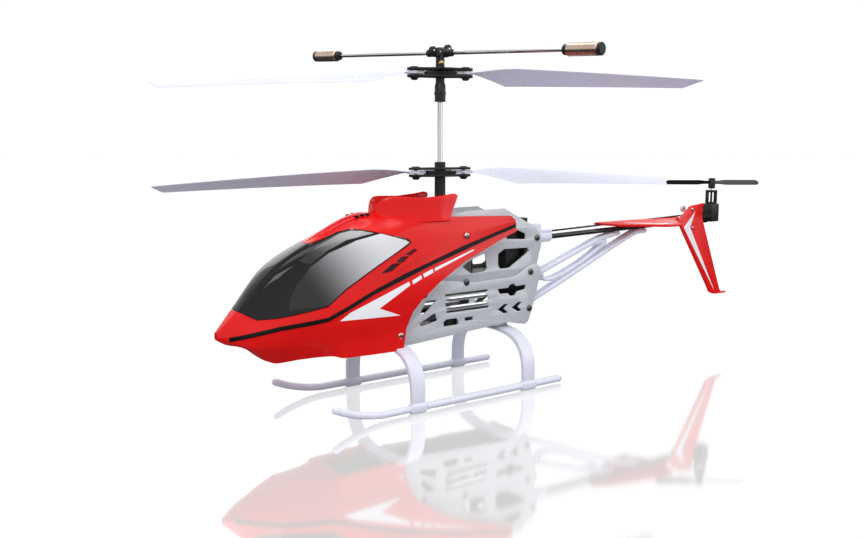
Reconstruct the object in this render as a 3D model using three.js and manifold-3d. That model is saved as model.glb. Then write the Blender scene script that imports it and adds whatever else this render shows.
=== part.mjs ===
// Remote control helicopter: coaxial rotors, millimetres, +Z up, nose towards -X, tail towards +X.
// Lengths are measured from the mast axis, and MAST_X puts that axis in the row frame.
import * as THREE from 'three';
import { mergeVertices } from 'three/addons/utils/BufferGeometryUtils.js';
import Module from 'manifold-3d';

const wasm = await Module();
wasm.setup();

// ---- driving dimensions ----
const MAST_X = -55.993;
const GAP = 0.3;
const ROTOR_R = 145;
const LOWER_HUB_Z = 113.2;
const UPPER_HUB_Z = 164.0;
const HUB_RISE = 3.6;
const HUB_PLATE = 1.3;
const ROOT_PIN_R = 13.5;
const LOWER_BLADE_AZ = -13.5;
const UPPER_BLADE_AZ = -24.4;
const FLYBAR_AZ = -76.9;
const FLYBAR_Z = 176.3;
const FLYBAR_TILT = 2.7;
const FLYBAR_HALF = 85;
const SKID_Y = 30.8;
const SKID_Z = 2.6;
const SKID_R = 1.9;
const LEG_X = [-36, 36];
const LEG_WIDTH = 8;
const PLATE_INNER = { low: 11.2, high: 12.0 };
const PLATE_OUTER = { low: 12.3, high: 13.1 };
const SHELL = 1.2;
const WING_INNER_Y = 14.2;
const BOOM_Z = 78.5;
const BOOM_R = 1.5;
const TAIL_ROTOR_X = 228.2;
const TAIL_ROTOR_R = 31;
const GEAR_MODULE = 0.5;
const GEAR_TEETH = 40;
const PINION_TEETH = 10;
const PINION_Y = 5.7;
const PINION_DISTANCE = 12.55;
const OUTER_GEAR_Z = 55.5;
const INNER_GEAR_Z = 49;
const GEAR_WIDTH = 3;
const OUTER_SHAFT = { r: 2.85, bore: 1.8, low: 55.0, high: 120.9 };
const INNER_SHAFT = { r: 1.5, low: 46.6, high: 151.4 };
const MOTOR = { r: 5, low: 61.9, high: 80 };

const PALETTE = {
  red: [0xcc090a, 0.18, 0.0],
  smoked: [0x120f10, 0.08, 0.0],
  plate: [0xccced4, 0.4, 0.8],
  white: [0xf2f3f8, 0.35, 0.0],
  black: [0x141414, 0.4, 0.0],
  carbon: [0x0d0d0f, 0.3, 0.1],
  steel: [0x8a8a8a, 0.22, 1.0],
  champagne: [0xc7aa9b, 0.3, 1.0],
  brass: [0xb08d4a, 0.3, 1.0],
  nylon: [0xe4e2da, 0.5, 0.0],
  foil: [0x3b4a7a, 0.4, 0.2],
};

// ---- solids ----
const toSolid = (geometry) => {
  const plain = geometry.clone();
  plain.deleteAttribute('normal');
  plain.deleteAttribute('uv');
  const merged = mergeVertices(plain, 1e-4);
  return new wasm.Manifold(new wasm.Mesh({
    numProp: 3,
    vertProperties: new Float32Array(merged.attributes.position.array),
    triVerts: new Uint32Array(merged.index.array),
  }));
};

const toGeometry = (solid) => {
  const mesh = solid.getMesh();
  const geometry = new THREE.BufferGeometry();
  geometry.setAttribute('position', new THREE.Float32BufferAttribute(mesh.vertProperties, 3));
  geometry.setIndex(new THREE.Uint32BufferAttribute(mesh.triVerts, 1));
  return geometry;
};

const cut = (base, ...tools) =>
  toGeometry(tools.reduce((solid, tool) => solid.subtract(toSolid(tool)), toSolid(base)));
const join = (...pieces) =>
  toGeometry(pieces.slice(1).reduce((solid, piece) => solid.add(toSolid(piece)), toSolid(pieces[0])));
const overlap = (first, second) => toGeometry(toSolid(first).intersect(toSolid(second)));
const largest = (geometry) => {
  const parts = toSolid(geometry).decompose();
  parts.sort((a, b) => b.volume() - a.volume());
  return toGeometry(parts[0]);
};

// ---- shapes ----
// the outline is made anticlockwise, because only then does ExtrudeGeometry turn the holes
const shapeOf = (points, holes = []) => {
  const outline = points.map(([u, v]) => new THREE.Vector2(u, v));
  const shape = new THREE.Shape(THREE.ShapeUtils.isClockWise(outline) ? outline.reverse() : outline);
  shape.holes = holes.map((hole) => new THREE.Path(hole.map(([u, v]) => new THREE.Vector2(u, v))));
  return shape;
};
const circle = (u, v, r, count = 20) =>
  Array.from({ length: count }, (_, i) => {
    const angle = (2 * Math.PI * i) / count;
    return [u + r * Math.cos(angle), v + r * Math.sin(angle)];
  });
const extrude = (points, depth, holes = []) =>
  new THREE.ExtrudeGeometry(shapeOf(points, holes), { depth, bevelEnabled: false, curveSegments: 8 });
// outline in X and Z, thickness along Y
const sidePlate = (points, yLow, yHigh, holes = []) =>
  extrude(points, yHigh - yLow, holes).rotateX(Math.PI / 2).translate(0, yHigh, 0);
// outline in X and Y, thickness along Z
const floorPlate = (points, zLow, zHigh, holes = []) =>
  extrude(points, zHigh - zLow, holes).translate(0, 0, zLow);
// outline in Y and Z, thickness along X
const crossPlate = (points, xLow, xHigh, holes = []) => {
  const turn = new THREE.Matrix4().makeBasis(
    new THREE.Vector3(0, 1, 0), new THREE.Vector3(0, 0, 1), new THREE.Vector3(1, 0, 0));
  return extrude(points, xHigh - xLow, holes).applyMatrix4(turn).translate(xLow, 0, 0);
};
const block = (xLow, xHigh, yLow, yHigh, zLow, zHigh) =>
  new THREE.BoxGeometry(xHigh - xLow, yHigh - yLow, zHigh - zLow)
    .translate((xLow + xHigh) / 2, (yLow + yHigh) / 2, (zLow + zHigh) / 2);
const post = (x, y, r, zLow, zHigh, segments = 20) =>
  new THREE.CylinderGeometry(r, r, zHigh - zLow, segments)
    .rotateX(Math.PI / 2).translate(x, y, (zLow + zHigh) / 2);
const rod = (from, to, r, segments = 16) => {
  const start = new THREE.Vector3(...from);
  const end = new THREE.Vector3(...to);
  const along = end.clone().sub(start);
  const turn = new THREE.Quaternion().setFromUnitVectors(
    new THREE.Vector3(0, 1, 0), along.clone().normalize());
  return new THREE.CylinderGeometry(r, r, along.length(), segments)
    .applyQuaternion(turn).translate(...start.add(end).multiplyScalar(0.5).toArray());
};
const turned = (profile, segments = 24) =>
  new THREE.LatheGeometry(profile.map(([r, z]) => new THREE.Vector2(r, z)), segments)
    .rotateX(Math.PI / 2);
const sweep = (points, r, steps, sides = 10) => {
  const path = new THREE.CatmullRomCurve3(points.map((point) => new THREE.Vector3(...point)));
  return new THREE.ExtrudeGeometry(shapeOf(circle(0, 0, r, sides)),
    { steps, bevelEnabled: false, extrudePath: path });
};
const mirrored = (points) => points.concat(points.slice().reverse().map(([u, v]) => [u, -v]));
const radians = THREE.MathUtils.degToRad;

// ---- scene graph ----
const helicopter = new THREE.Group();
helicopter.position.set(MAST_X, 0, 0);
const add = (name, geometry, look, parent = helicopter) => {
  const [color, roughness, metalness] = PALETTE[look];
  const mesh = new THREE.Mesh(geometry, new THREE.MeshStandardMaterial({ color, roughness, metalness }));
  mesh.name = name;
  parent.add(mesh);
  return mesh;
};
const SIDES = [['right', 1], ['left', -1]];
const onSide = (geometry, side) => {
  if (side > 0) return geometry;
  const flipped = toSolid(geometry).mirror([0, 1, 0]);
  return toGeometry(flipped);
};

// ---- canopy ----
// Every row of a line is [x, half width, height]; the section at x joins the lines in this order.
const KEEL = [[-125.5, 0, 41.6], [-116, 0, 38.2], [-110.8, 0, 36.3], [-98.5, 0, 28.2], [-86, 0, 32.4],
  [-72.5, 0, 32], [-71, 0, 30.2], [-35, 0, 28.9], [40, 0, 28.9]];
const SKIRT = [[-125.5, 1.2, 41.6], [-110.8, 6, 36.6], [-98.5, 8.5, 28.4], [-86, 12.5, 32.6],
  [-72.5, 15.5, 32.2], [-71, 16.2, 30.3], [-35, 16.4, 29], [40, 16, 29]];
const CREASE = [[-125.5, 2.2, 43.2], [-114, 9.5, 44.4], [-100, 15, 46.2], [-77.3, 19, 49],
  [-40, 18.7, 60.8], [0, 17.6, 73.6], [40, 16.2, 86.3]];
const SILL = [[-125.5, 1.7, 45], [-116, 5.5, 52], [-100, 13.5, 53.4], [-78, 18.3, 56],
  [-30, 16.6, 82], [0, 16.2, 88], [40, 15.9, 90.4]];
const BULGE = [[-125.5, 1.4, 45.4], [-116, 5, 53.6], [-98, 12, 64], [-80, 14.8, 72], [-60, 15.5, 80],
  [-30, 15.8, 87.8], [0, 15.9, 91], [40, 15.7, 91.2]];
const BROW = [[-125.5, 1, 45.6], [-116.4, 3.5, 54.9], [-98, 8.5, 72.4], [-80, 9.5, 81.6],
  [-60, 11, 87.8], [-30, 13.6, 92.6], [0, 14.8, 93.2], [40, 15.2, 91.9]];
const CREST_LINE = [[-125.5, 0, 45.7], [-116.4, 0, 55.3], [-108.2, 0, 65.2], [-97.9, 0, 74.4],
  [-87.4, 0, 80.5], [-80.3, 0, 83.8], [-47, 0, 96.8], [-20, 0, 96.4], [0, 0, 94.6], [40, 0, 92.2]];
const LINES = [KEEL, SKIRT, CREASE, SILL, BULGE, BROW, CREST_LINE];
const STATIONS = [-125.5, -121, -116, -110.8, -104, -98.5, -92, -86, -80, -72.5, -71, -60, -47, -35,
  -20, 0, 20, 39];

const along = (line, x) => {
  const last = line.length - 2;
  let i = 0;
  while (i < last && x > line[i + 1][0]) i += 1;
  const t = THREE.MathUtils.clamp((x - line[i][0]) / (line[i + 1][0] - line[i][0]), 0, 1.02);
  return [1, 2].map((k) => line[i][k] + t * (line[i + 1][k] - line[i][k]));
};
const section = (x, inset) => {
  const right = LINES.map((line) => along(line, x));
  const middle = (right[0][1] + right[right.length - 1][1]) / 2;
  const moved = right.map(([y, z]) => [
    y === 0 ? 0 : Math.max(y - inset, 0.4),
    z + inset * Math.sign(middle - z),
  ]);
  const left = moved.slice(1, -1).reverse().map(([y, z]) => [-y, z]);
  return moved.concat(left);
};
const loftRings = (rings) => {
  const size = rings[0].length;
  const faces = [];
  for (let i = 0; i < rings.length - 1; i += 1) {
    for (let j = 0; j < size; j += 1) {
      const k = (j + 1) % size;
      const [a, b, c, d] = [i * size + j, i * size + k, (i + 1) * size + k, (i + 1) * size + j];
      faces.push(a, b, c, a, c, d);
    }
  }
  const cap = (ring, facing) => {
    const points = rings[ring].map(([, y, z]) => new THREE.Vector2(y, z));
    THREE.ShapeUtils.triangulateShape(points, []).forEach((corner) => {
      const turn = THREE.ShapeUtils.area(corner.map((i) => points[i])) * facing;
      const ordered = turn > 0 ? corner : corner.slice().reverse();
      faces.push(...ordered.map((i) => ring * size + i));
    });
  };
  cap(0, -1);
  cap(rings.length - 1, 1);
  const geometry = new THREE.BufferGeometry();
  geometry.setAttribute('position', new THREE.Float32BufferAttribute(rings.flat(2), 3));
  geometry.setIndex(faces);
  return geometry;
};
const loft = (stations, inset) =>
  loftRings(stations.map((x) => section(x, inset).map(([y, z]) => [x, y, z])));

const CUT_HALF = 30;
// side view of the part of the loft that is open behind and under the canopy
const REAR_OPENING = [[-32.7, 20], [-32.7, 28], [-30.7, 39.6], [-28.3, 47.5], [-24.1, 52.6],
  [-14.4, 60.8], [2.3, 70.1], [32.9, 81.8], [45, 85.4], [45, 20]];
const PLATE_SPACE = [[-44, 20], [-44, 76], [-30, 82.5], [-8, 89], [-5, 93], [-5, 110], [45, 110],
  [45, 20]];
const GLASS = [[-118, 53], [-100, 54.6], [-79, 57.2], [-31.5, 81.6], [-34, 83.6], [-55, 88.2],
  [-64, 87.4], [-80.5, 82.6], [-83, 95], [-118, 95]];
const CREST_SIDE = [[-42, 90], [-42, 97], [-40, 103], [-33, 104.3], [-20, 103.4], [-8, 104], [1.5, 105.8],
  [0, 103], [-4, 90]];
const CREST_PLAN = [[-42, 3.4], [-37, 7.4], [-26, 11.2], [-12, 13.5], [3, 13.9]];
const CREST_WALL = 1.5;

// moves every edge of an anticlockwise outline inwards by step
const inwards = (points, step) => points.map(([u, v], i) => {
  const before = points[(i + points.length - 1) % points.length];
  const after = points[(i + 1) % points.length];
  const entering = new THREE.Vector2(u - before[0], v - before[1]).normalize();
  const leaving = new THREE.Vector2(after[0] - u, after[1] - v).normalize();
  const normal = new THREE.Vector2(-entering.y - leaving.y, entering.x + leaving.x).normalize();
  const reach = step / Math.max(0.35, normal.dot(new THREE.Vector2(-entering.y, entering.x)));
  return [u + normal.x * reach, v + normal.y * reach];
});
const wallOf = (points, wall) => {
  const inner = points.map(([x, y]) => [x, y - wall]);
  inner[0][0] += wall;
  return inner;
};

const outerLoft = loft(STATIONS, 0);
const INNER_STATIONS = [-123, ...STATIONS.slice(1, -1), 40.5];
const hollow = cut(outerLoft, loft(INNER_STATIONS, SHELL));
const belly = block(-84, -20, -13.4, 13.4, 20, 40);
const crestHole = floorPlate(mirrored(CREST_PLAN.map(([x, y]) => [x, y + GAP])), 88, 112);
const rearOpening = sidePlate(REAR_OPENING, -CUT_HALF, CUT_HALF);
const plateSpace = sidePlate(PLATE_SPACE, -WING_INNER_Y + 0.7, WING_INNER_Y - 0.7);
const glassRegion = sidePlate(GLASS, -CUT_HALF, CUT_HALF);
const glassInset = sidePlate(inwards(GLASS, GAP), -CUT_HALF, CUT_HALF);
add('canopy', largest(cut(hollow, belly, crestHole, rearOpening, plateSpace, glassRegion)), 'red');
add('windshield', largest(overlap(hollow, glassInset)), 'smoked');
const crestInner = floorPlate(mirrored([...wallOf(CREST_PLAN, CREST_WALL), [6, 13.9 - CREST_WALL]]), 80, 120);
const crestWalls = cut(floorPlate(mirrored(CREST_PLAN), 84, 112), crestInner);
add('crest', largest(overlap(crestWalls, sidePlate(CREST_SIDE, -CUT_HALF, CUT_HALF))), 'red');

// ---- side plates ----
const UPPER_PLATE = [[-30, 62], [-30, 79], [-8, 87], [-3, 95], [4.7, 94.4], [8.6, 95.5], [34.6, 95.9],
  [57.8, 84.2], [61.2, 79.5], [61.8, 76.2], [57.7, 61], [50, 62], [43, 58.2], [12, 56.6], [-14, 60]];
const UPPER_HOLES = [
  [[30.1, 71.5], [34.4, 73.9], [51.3, 73.6], [52.9, 71.8], [38.1, 63.4], [31.8, 63.3], [30.2, 65.3]],
  [[13.5, 70.3], [21.3, 72.6], [22.5, 64.2], [20.4, 62.8], [11.5, 62.5], [5.9, 66.4], [8, 68]],
  [[35.9, 81], [42.7, 84.2], [49.7, 81.4], [49.7, 78.4], [35.9, 79.3]],
];
const LOWER_PLATE = [[-39, 31], [-39, 60], [-12.2, 61.3], [12.1, 57.8], [38.7, 58.5], [43.2, 59.4],
  [49.8, 63.1], [56, 64.6], [59.3, 63.2], [60.7, 59.8], [54.3, 38.8], [51.7, 32.5], [49, 31.1],
  [36.6, 33.6], [-28.7, 29.4]];
const SWITCH_HOLE = [[-7.2, 36.4], [-7.2, 38.6], [-5.6, 39.9], [1.2, 39.9], [2.4, 38.4], [2.4, 36.4]];
const slot = (xLow, xHigh, z, half) =>
  [[xLow, z - half], [xHigh - half, z - half], [xHigh, z], [xHigh - half, z + half], [xLow, z + half]];
const chevron = (x, z) => [[x, z], [x + 4.6, z + 2.6], [x + 7.6, z + 2.4], [x + 4.4, z],
  [x + 7.6, z - 2.4], [x + 4.6, z - 2.6]];
const LOWER_HOLES = [
  [[-11.5, 51], [-18.4, 50.7], [-21.9, 45.4], [-20.2, 43.8]],
  [[-12.7, 44.2], [-11.2, 40], [-21.7, 38], [-22.6, 39.8]],
  [[29, 52.7], [30.7, 49.8], [36.6, 49.6], [38, 48], [41.4, 48], [43, 50], [49, 50.8], [49.5, 53.3],
    [42.4, 53], [40.6, 54.6], [38, 54.2], [36.4, 52.6]],
  slot(-6.3, 22.5, 52.6, 0.6), slot(-6, 10.1, 48, 1.3), slot(13.7, 23.2, 48.2, 1.2),
  slot(-5.3, 23.3, 43.8, 0.6),
  [[6.7, 37.7], [12.3, 37.7], [12.3, 39.6], [6.7, 39.6]],
  chevron(29.3, 41.3), chevron(39.3, 41.4), SWITCH_HOLE,
];
SIDES.forEach(([name, side]) => {
  const upper = sidePlate(UPPER_PLATE, PLATE_INNER.low, PLATE_INNER.high, UPPER_HOLES);
  const lower = sidePlate(LOWER_PLATE, PLATE_OUTER.low, PLATE_OUTER.high, LOWER_HOLES);
  add(`plate_upper_${name}`, onSide(upper, side), 'plate');
  add(`plate_lower_${name}`, onSide(lower, side), 'plate');
});

// ---- chassis and what it carries ----
const CHASSIS_HALF = 10.8;
const DECK = { low: 60, high: 61.6 };
const pinionX = Math.sqrt(PINION_DISTANCE ** 2 - PINION_Y ** 2);
const deckHoles = [circle(0, 0, OUTER_SHAFT.r + GAP, 28),
  ...SIDES.map(([, side]) => circle(pinionX, side * PINION_Y, 1.1, 12))];
const rectangle = (xLow, xHigh, half) =>
  [[xLow, -half], [xHigh, -half], [xHigh, half], [xLow, half]];
const bulkhead = (xLow, xHigh, zLow, zHigh) => block(xLow, xHigh, -CHASSIS_HALF, CHASSIS_HALF, zLow, zHigh);
add('chassis', join(
  floorPlate(rectangle(-76, -25, 8), 33, 35),
  floorPlate(rectangle(-26, 50, CHASSIS_HALF), 33, 35),
  floorPlate(rectangle(-25, 20, 4), 43, 45, [circle(0, 0, INNER_SHAFT.r - 0.6, 12)]),
  floorPlate(rectangle(-25, 51, CHASSIS_HALF), DECK.low, DECK.high, deckHoles),
  floorPlate(rectangle(-9, 51, CHASSIS_HALF), 88, 90, [circle(0, 0, OUTER_SHAFT.r + GAP, 28)]),
  bulkhead(-26, -24, 33, DECK.high),
  bulkhead(50, 52, 33, 90),
), 'black');
add('battery', block(-75, -28, -7.6, 7.6, 35.3, 46), 'foil');
add('receiver', join(block(39, 49.6, -8, 8, 61.9, 84.5), block(41, 47, -6, 6, 84, 87)), 'black');

const toothRing = (teeth, turn) => {
  const pitchR = (GEAR_MODULE * teeth) / 2;
  const tipR = pitchR + 0.7 * GEAR_MODULE;
  const rootR = pitchR - 1.15 * GEAR_MODULE;
  const step = (2 * Math.PI) / teeth;
  const corners = [[-0.27, rootR], [-0.1, tipR], [0.1, tipR], [0.27, rootR]];
  return Array.from({ length: teeth }, (_, i) => corners.map(([share, r]) => {
    const angle = turn + (i + share) * step;
    return [r * Math.cos(angle), r * Math.sin(angle)];
  })).flat();
};
const mainGear = (name, z, bore, mate) => {
  const turn = Math.atan2(mate * PINION_Y, pinionX);
  const wheel = floorPlate(toothRing(GEAR_TEETH, turn), z, z + GEAR_WIDTH, [circle(0, 0, bore, 20)]);
  add(name, wheel, 'nylon');
};
const pinion = (name, z, side) => {
  const turn = Math.atan2(side * PINION_Y, pinionX) + Math.PI + Math.PI / PINION_TEETH;
  const teeth = floorPlate(toothRing(PINION_TEETH, turn), z - 0.5, z + GEAR_WIDTH + 0.5);
  teeth.translate(pinionX, side * PINION_Y, 0);
  add(name, join(teeth, post(pinionX, side * PINION_Y, 0.75, z - 0.3, MOTOR.low + 5, 12)), 'brass');
};
mainGear('gear_lower_rotor', OUTER_GEAR_Z, OUTER_SHAFT.r + GAP, -1);
mainGear('gear_upper_rotor', INNER_GEAR_Z, INNER_SHAFT.r + GAP, 1);
pinion('pinion_lower_rotor', OUTER_GEAR_Z, -1);
pinion('pinion_upper_rotor', INNER_GEAR_Z, 1);
SIDES.forEach(([name, side]) => {
  const can = turned([[0, MOTOR.low + 6], [1.1, MOTOR.low + 6], [1.1, MOTOR.low], [4.4, MOTOR.low],
    [MOTOR.r, MOTOR.low + 0.6], [MOTOR.r, MOTOR.high - 0.8], [4.2, MOTOR.high], [0, MOTOR.high]], 20);
  add(`motor_${name}`, can.translate(pinionX, side * PINION_Y, 0), 'steel');
});
add('switch_body', block(-7.6, 2.8, -10.6, -7.4, 35.6, 40.2), 'black');
add('switch_knob', join(block(-6.4, -3, -11.9, -10.9, 36.9, 39.4), block(-5.7, -3.7, -14.2, -11.8, 37.3, 39)),
  'black');

// ---- landing gear ----
// a lower power makes the arch of a leg squarer
const LEG_SQUARE = 0.75;
const CLIP_HALF = 2.6;
const archOutline = () => {
  const count = 20;
  const foot = SKID_Z + 1.4;
  const arc = (halfWidth, top) => Array.from({ length: count + 1 }, (_, i) => {
    const angle = (Math.PI * i) / count;
    const across = Math.sign(Math.cos(angle)) * Math.abs(Math.cos(angle)) ** LEG_SQUARE;
    return [halfWidth * across, foot + (top - foot) * Math.abs(Math.sin(angle)) ** LEG_SQUARE];
  });
  return arc(SKID_Y + 1.3, 28.6).concat(arc(SKID_Y - 1.3, 25.9).reverse());
};
const skidBore = (side) => rod([-90, side * SKID_Y, SKID_Z], [90, side * SKID_Y, SKID_Z], SKID_R + GAP, 20);
LEG_X.forEach((x, i) => {
  const strip = crossPlate(archOutline(), x - LEG_WIDTH / 2, x + LEG_WIDTH / 2);
  const clips = SIDES.map(([, side]) =>
    block(x - 5.2, x + 5.2, side * SKID_Y - CLIP_HALF, side * SKID_Y + CLIP_HALF, 0, 5.2));
  const saddle = block(x - LEG_WIDTH / 2, x + LEG_WIDTH / 2, -9, 9, 27, 28.6);
  add(['leg_front', 'leg_rear'][i], cut(join(strip, saddle, ...clips), skidBore(1), skidBore(-1)), 'white');
});
const SKID_PATH = [[58.5, SKID_Z], [20, SKID_Z], [-20, SKID_Z], [-56, SKID_Z], [-66, 3.4], [-75, 6],
  [-83, 9.6]];
SIDES.forEach(([name, side]) => {
  const path = SKID_PATH.map(([x, z]) => [x, side * SKID_Y, z]);
  add(`skid_${name}`, sweep(path, SKID_R, 24, 12), 'white');
});

// ---- tail ----
add('boom_clamp', cut(
  join(block(52.4, 66, -8, 8, 70.5, 86), block(65, 81, -3.6, 3.6, 75.2, 82.6)),
  rod([50, 0, BOOM_Z], [90, 0, BOOM_Z], BOOM_R + GAP)), 'white');
add('tail_boom', rod([56, 0, BOOM_Z], [205, 0, BOOM_Z], BOOM_R), 'carbon');
add('tail_rod', rod([82, 0, 82.6], [196, 0, 85.4], 0.55, 10), 'carbon');
const BRACE_Y = 1.9;
const BRACE_R = 1.15;
const BRACE_LOWER = [[53, 36.9], [63, 41], [94, 53.2], [129, 67.5], [151, 75.8], [158, 75.9]];
const BRACE_UPPER = [[53, 50.9], [70, 57], [98, 66.6], [118, 73.2], [138, 74.4], [152, 75.4]];
const BRACE_LOOP = [[74, 52.5], [71.8, 55], [75, 58.6], [92, 64.6], [108, 69.6], [121, 71], [118, 66.4],
  [106, 60.4], [90, 53.8], [80, 51.2]];
const brace = (side) => {
  const strut = (points, r, steps) =>
    sweep(points.map(([x, z]) => [x, side * BRACE_Y, z]), r, steps, 8);
  return largest(join(strut(BRACE_LOWER, BRACE_R, 12), strut(BRACE_UPPER, BRACE_R, 12),
    strut([...BRACE_LOOP, BRACE_LOOP[0]], 0.9, 24)));
};
SIDES.forEach(([name, side]) => add(`tail_brace_${name}`, brace(side), 'white'));
const STABILIZER = [[119, 3], [128, 10], [160, 20.5], [172, 21], [184, 5], [193, 2.6]];
add('stabilizer', floorPlate(mirrored(STABILIZER), 80.4, 81.8), 'red');
const FIN = [[188, 80.9], [200, 90.4], [215.3, 92], [213.9, 82.8], [234.5, 32.6], [242.1, 30.9],
  [241.6, 29.6], [228.4, 29.4], [223.5, 31], [221.2, 34.9]];
add('fin', sidePlate(FIN, -5.2, -3.9), 'red');
add('tail_mount', cut(
  join(block(196, 210, -3.6, 3.6, 74.8, 88.4), block(205, 223, -2.8, 2.8, 78.6, 85.4),
    block(222, 237, -3.6, 4.6, 78.7, 90.6)),
  rod([190, 0, BOOM_Z], [205.4, 0, BOOM_Z], BOOM_R + GAP),
  rod([190, 0, 85.25], [196.6, 0, 85.45], 0.55 + GAP, 10),
  post(TAIL_ROTOR_X, 0, 3.2, 82, 95)), 'black');
const motorBars = [0, 1, 2].map((i) => {
  const angle = (2 * Math.PI * i) / 3;
  return post(TAIL_ROTOR_X + 2.2 * Math.cos(angle), 2.2 * Math.sin(angle), 0.6, 89, 99.6, 8);
});
add('tail_motor', cut(join(post(TAIL_ROTOR_X, 0, 2.9, 82.3, 90.5), ...motorBars,
  post(TAIL_ROTOR_X, 0, 2.9, 98, 99.8)), post(TAIL_ROTOR_X, 0, 0.95, 84, 101, 12)), 'black');
const propBlade = (turn) => join(
  block(1, 9, -1.1, 1.1, -0.7, 0.7),
  block(7, TAIL_ROTOR_R, -2.4, 2.4, -0.5, 0.5).rotateX(radians(14)),
).rotateZ(turn).translate(TAIL_ROTOR_X, 0, 105.4);
const PROP_AZ = radians(-38);
add('tail_rotor', join(post(TAIL_ROTOR_X, 0, 2.3, 101, 108), post(TAIL_ROTOR_X, 0, 0.6, 86, 102, 12),
  propBlade(PROP_AZ), propBlade(PROP_AZ + Math.PI)), 'black');

// ---- rotors ----
const HUB_HALF = [[17.5, 0], [16.6, 2.4], [13.5, 3.3], [9, 3], [4.6, 4.6], [0, 5]];
const HUB_OUTLINE = (() => {
  const left = HUB_HALF.slice(0, -1).map(([x, y]) => [-x, y]);
  const top = left.concat(HUB_HALF.slice().reverse());
  const bottom = top.slice(1, -1).reverse().map(([x, y]) => [x, -y]);
  return top.concat(bottom);
})();
const HUB_BORE = 3.15;
const LINK_BAR_X = 7;
const LINK_BAR_Y = -6.8;
const LINK_ARM_HALF = 1.2;
const hubPlate = (z) => {
  const pins = [1, -1].map((end) => circle(end * ROOT_PIN_R, 0, 1.1, 16));
  return floorPlate(HUB_OUTLINE, z, z + HUB_PLATE, [...pins, circle(0, 0, HUB_BORE, 20)]);
};
const hubBottom = (hubZ) => {
  const spacer = block(-8, 8, -3.4, 3.4, hubZ + HUB_PLATE - 0.1, hubZ + HUB_RISE - GAP);
  return cut(join(hubPlate(hubZ), spacer), post(0, 0, HUB_BORE, hubZ - 1, hubZ + HUB_RISE, 20));
};
// an arm of the tilting upper hub reaches under each link
const linkArm = (end, z) => {
  const toLink = Math.atan2(LINK_BAR_Y, LINK_BAR_X) + radians(FLYBAR_AZ - UPPER_BLADE_AZ);
  const reach = Math.hypot(LINK_BAR_X, LINK_BAR_Y) + LINK_ARM_HALF;
  return block(HUB_BORE + 0.45, reach, -LINK_ARM_HALF, LINK_ARM_HALF, z, z + HUB_PLATE)
    .rotateZ(end > 0 ? toLink : toLink + Math.PI);
};
const hubTop = (z, ends) =>
  (ends.length ? join(hubPlate(z), ...ends.map((end) => linkArm(end, z))) : hubPlate(z));
// span, leading edge, trailing edge and thickness of a blade, and its twist as a share of BLADE_PITCH
const BLADE_PITCH = 22;
const BLADE_STATIONS = [
  [16.5, 2, -2, 1.6, 0], [19, 2.2, -2.3, 1.6, 0.05], [24, 3.4, -3.6, 1.6, 0.35],
  [29, 4.9, -6.2, 1.5, 0.7], [33.5, 5.9, -9.6, 1.4, 0.92], [38.5, 6.6, -14.4, 1.3, 1],
  [75, 6.4, -12, 1.2, 0.95], [110, 6, -9.6, 1.1, 0.88], [139, 5.6, -7.6, 1, 0.8],
  [ROTOR_R, 5.2, 3.6, 0.8, 0.8],
];
const bladePanel = (lift, droop, hand) => {
  const rings = BLADE_STATIONS.map(([span, lead, trail, thick, share]) => {
    const pitch = radians(BLADE_PITCH * share);
    const chord = lead - trail;
    const outline = [[lead, 0], [lead - 0.3 * chord, thick / 2], [trail + 0.25 * chord, thick * 0.35],
      [trail, 0.15], [trail, -0.15], [trail + 0.25 * chord, -thick * 0.35], [lead - 0.3 * chord, -thick / 2]];
    const drop = droop * Math.max(0, (span - 17) / (ROTOR_R - 17)) ** 1.3;
    const ring = outline.map(([y, z]) => [span, hand * (y * Math.cos(pitch) - z * Math.sin(pitch)),
      lift - drop + y * Math.sin(pitch) + z * Math.cos(pitch)]);
    return hand > 0 ? ring : ring.reverse();
  });
  return loftRings(rings);
};
const blade = (azimuth, hubZ, droop, hand) => {
  const rootZ = hubZ + HUB_PLATE + GAP;
  const rootHeight = HUB_RISE - HUB_PLATE - 2 * GAP;
  const ear = post(ROOT_PIN_R, 0, 2.6, rootZ, rootZ + rootHeight, 18);
  const neck = block(ROOT_PIN_R, 17.5, -2, 2, rootZ, rootZ + rootHeight);
  const pinHole = post(ROOT_PIN_R, 0, 1.1, rootZ - 1, rootZ + rootHeight + 1, 12);
  const panel = bladePanel(rootZ + rootHeight / 2, droop, hand);
  return cut(join(ear, neck, panel), pinHole).rotateZ(radians(azimuth));
};
const bladeScrew = (azimuth, hubZ) => {
  const shaftTop = hubZ + HUB_RISE + HUB_PLATE - 0.2;
  const head = post(ROOT_PIN_R, 0, 1.8, hubZ - 1.5, hubZ - GAP, 16);
  return join(post(ROOT_PIN_R, 0, 0.8, hubZ - 1, shaftTop, 12), head).rotateZ(radians(azimuth));
};
const rotor = (name, azimuth, hubZ, droops, hand, linkEnds) => {
  [['a', 0], ['b', 180]].forEach(([end, turn], i) => {
    add(`blade_${name}_${end}`, blade(azimuth + turn, hubZ, droops[i], hand), 'white');
    add(`blade_screw_${name}_${end}`, bladeScrew(azimuth + turn, hubZ), 'steel');
  });
  add(`hub_${name}_bottom`, hubBottom(hubZ).rotateZ(radians(azimuth)), 'black');
  add(`hub_${name}_top`, hubTop(hubZ + HUB_RISE, linkEnds).rotateZ(radians(azimuth)), 'black');
};
rotor('lower', LOWER_BLADE_AZ, LOWER_HUB_Z, [6.5, 6.5], 1, []);
rotor('upper', UPPER_BLADE_AZ, UPPER_HUB_Z, [3.5, 8], -1, [1, -1]);

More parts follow.
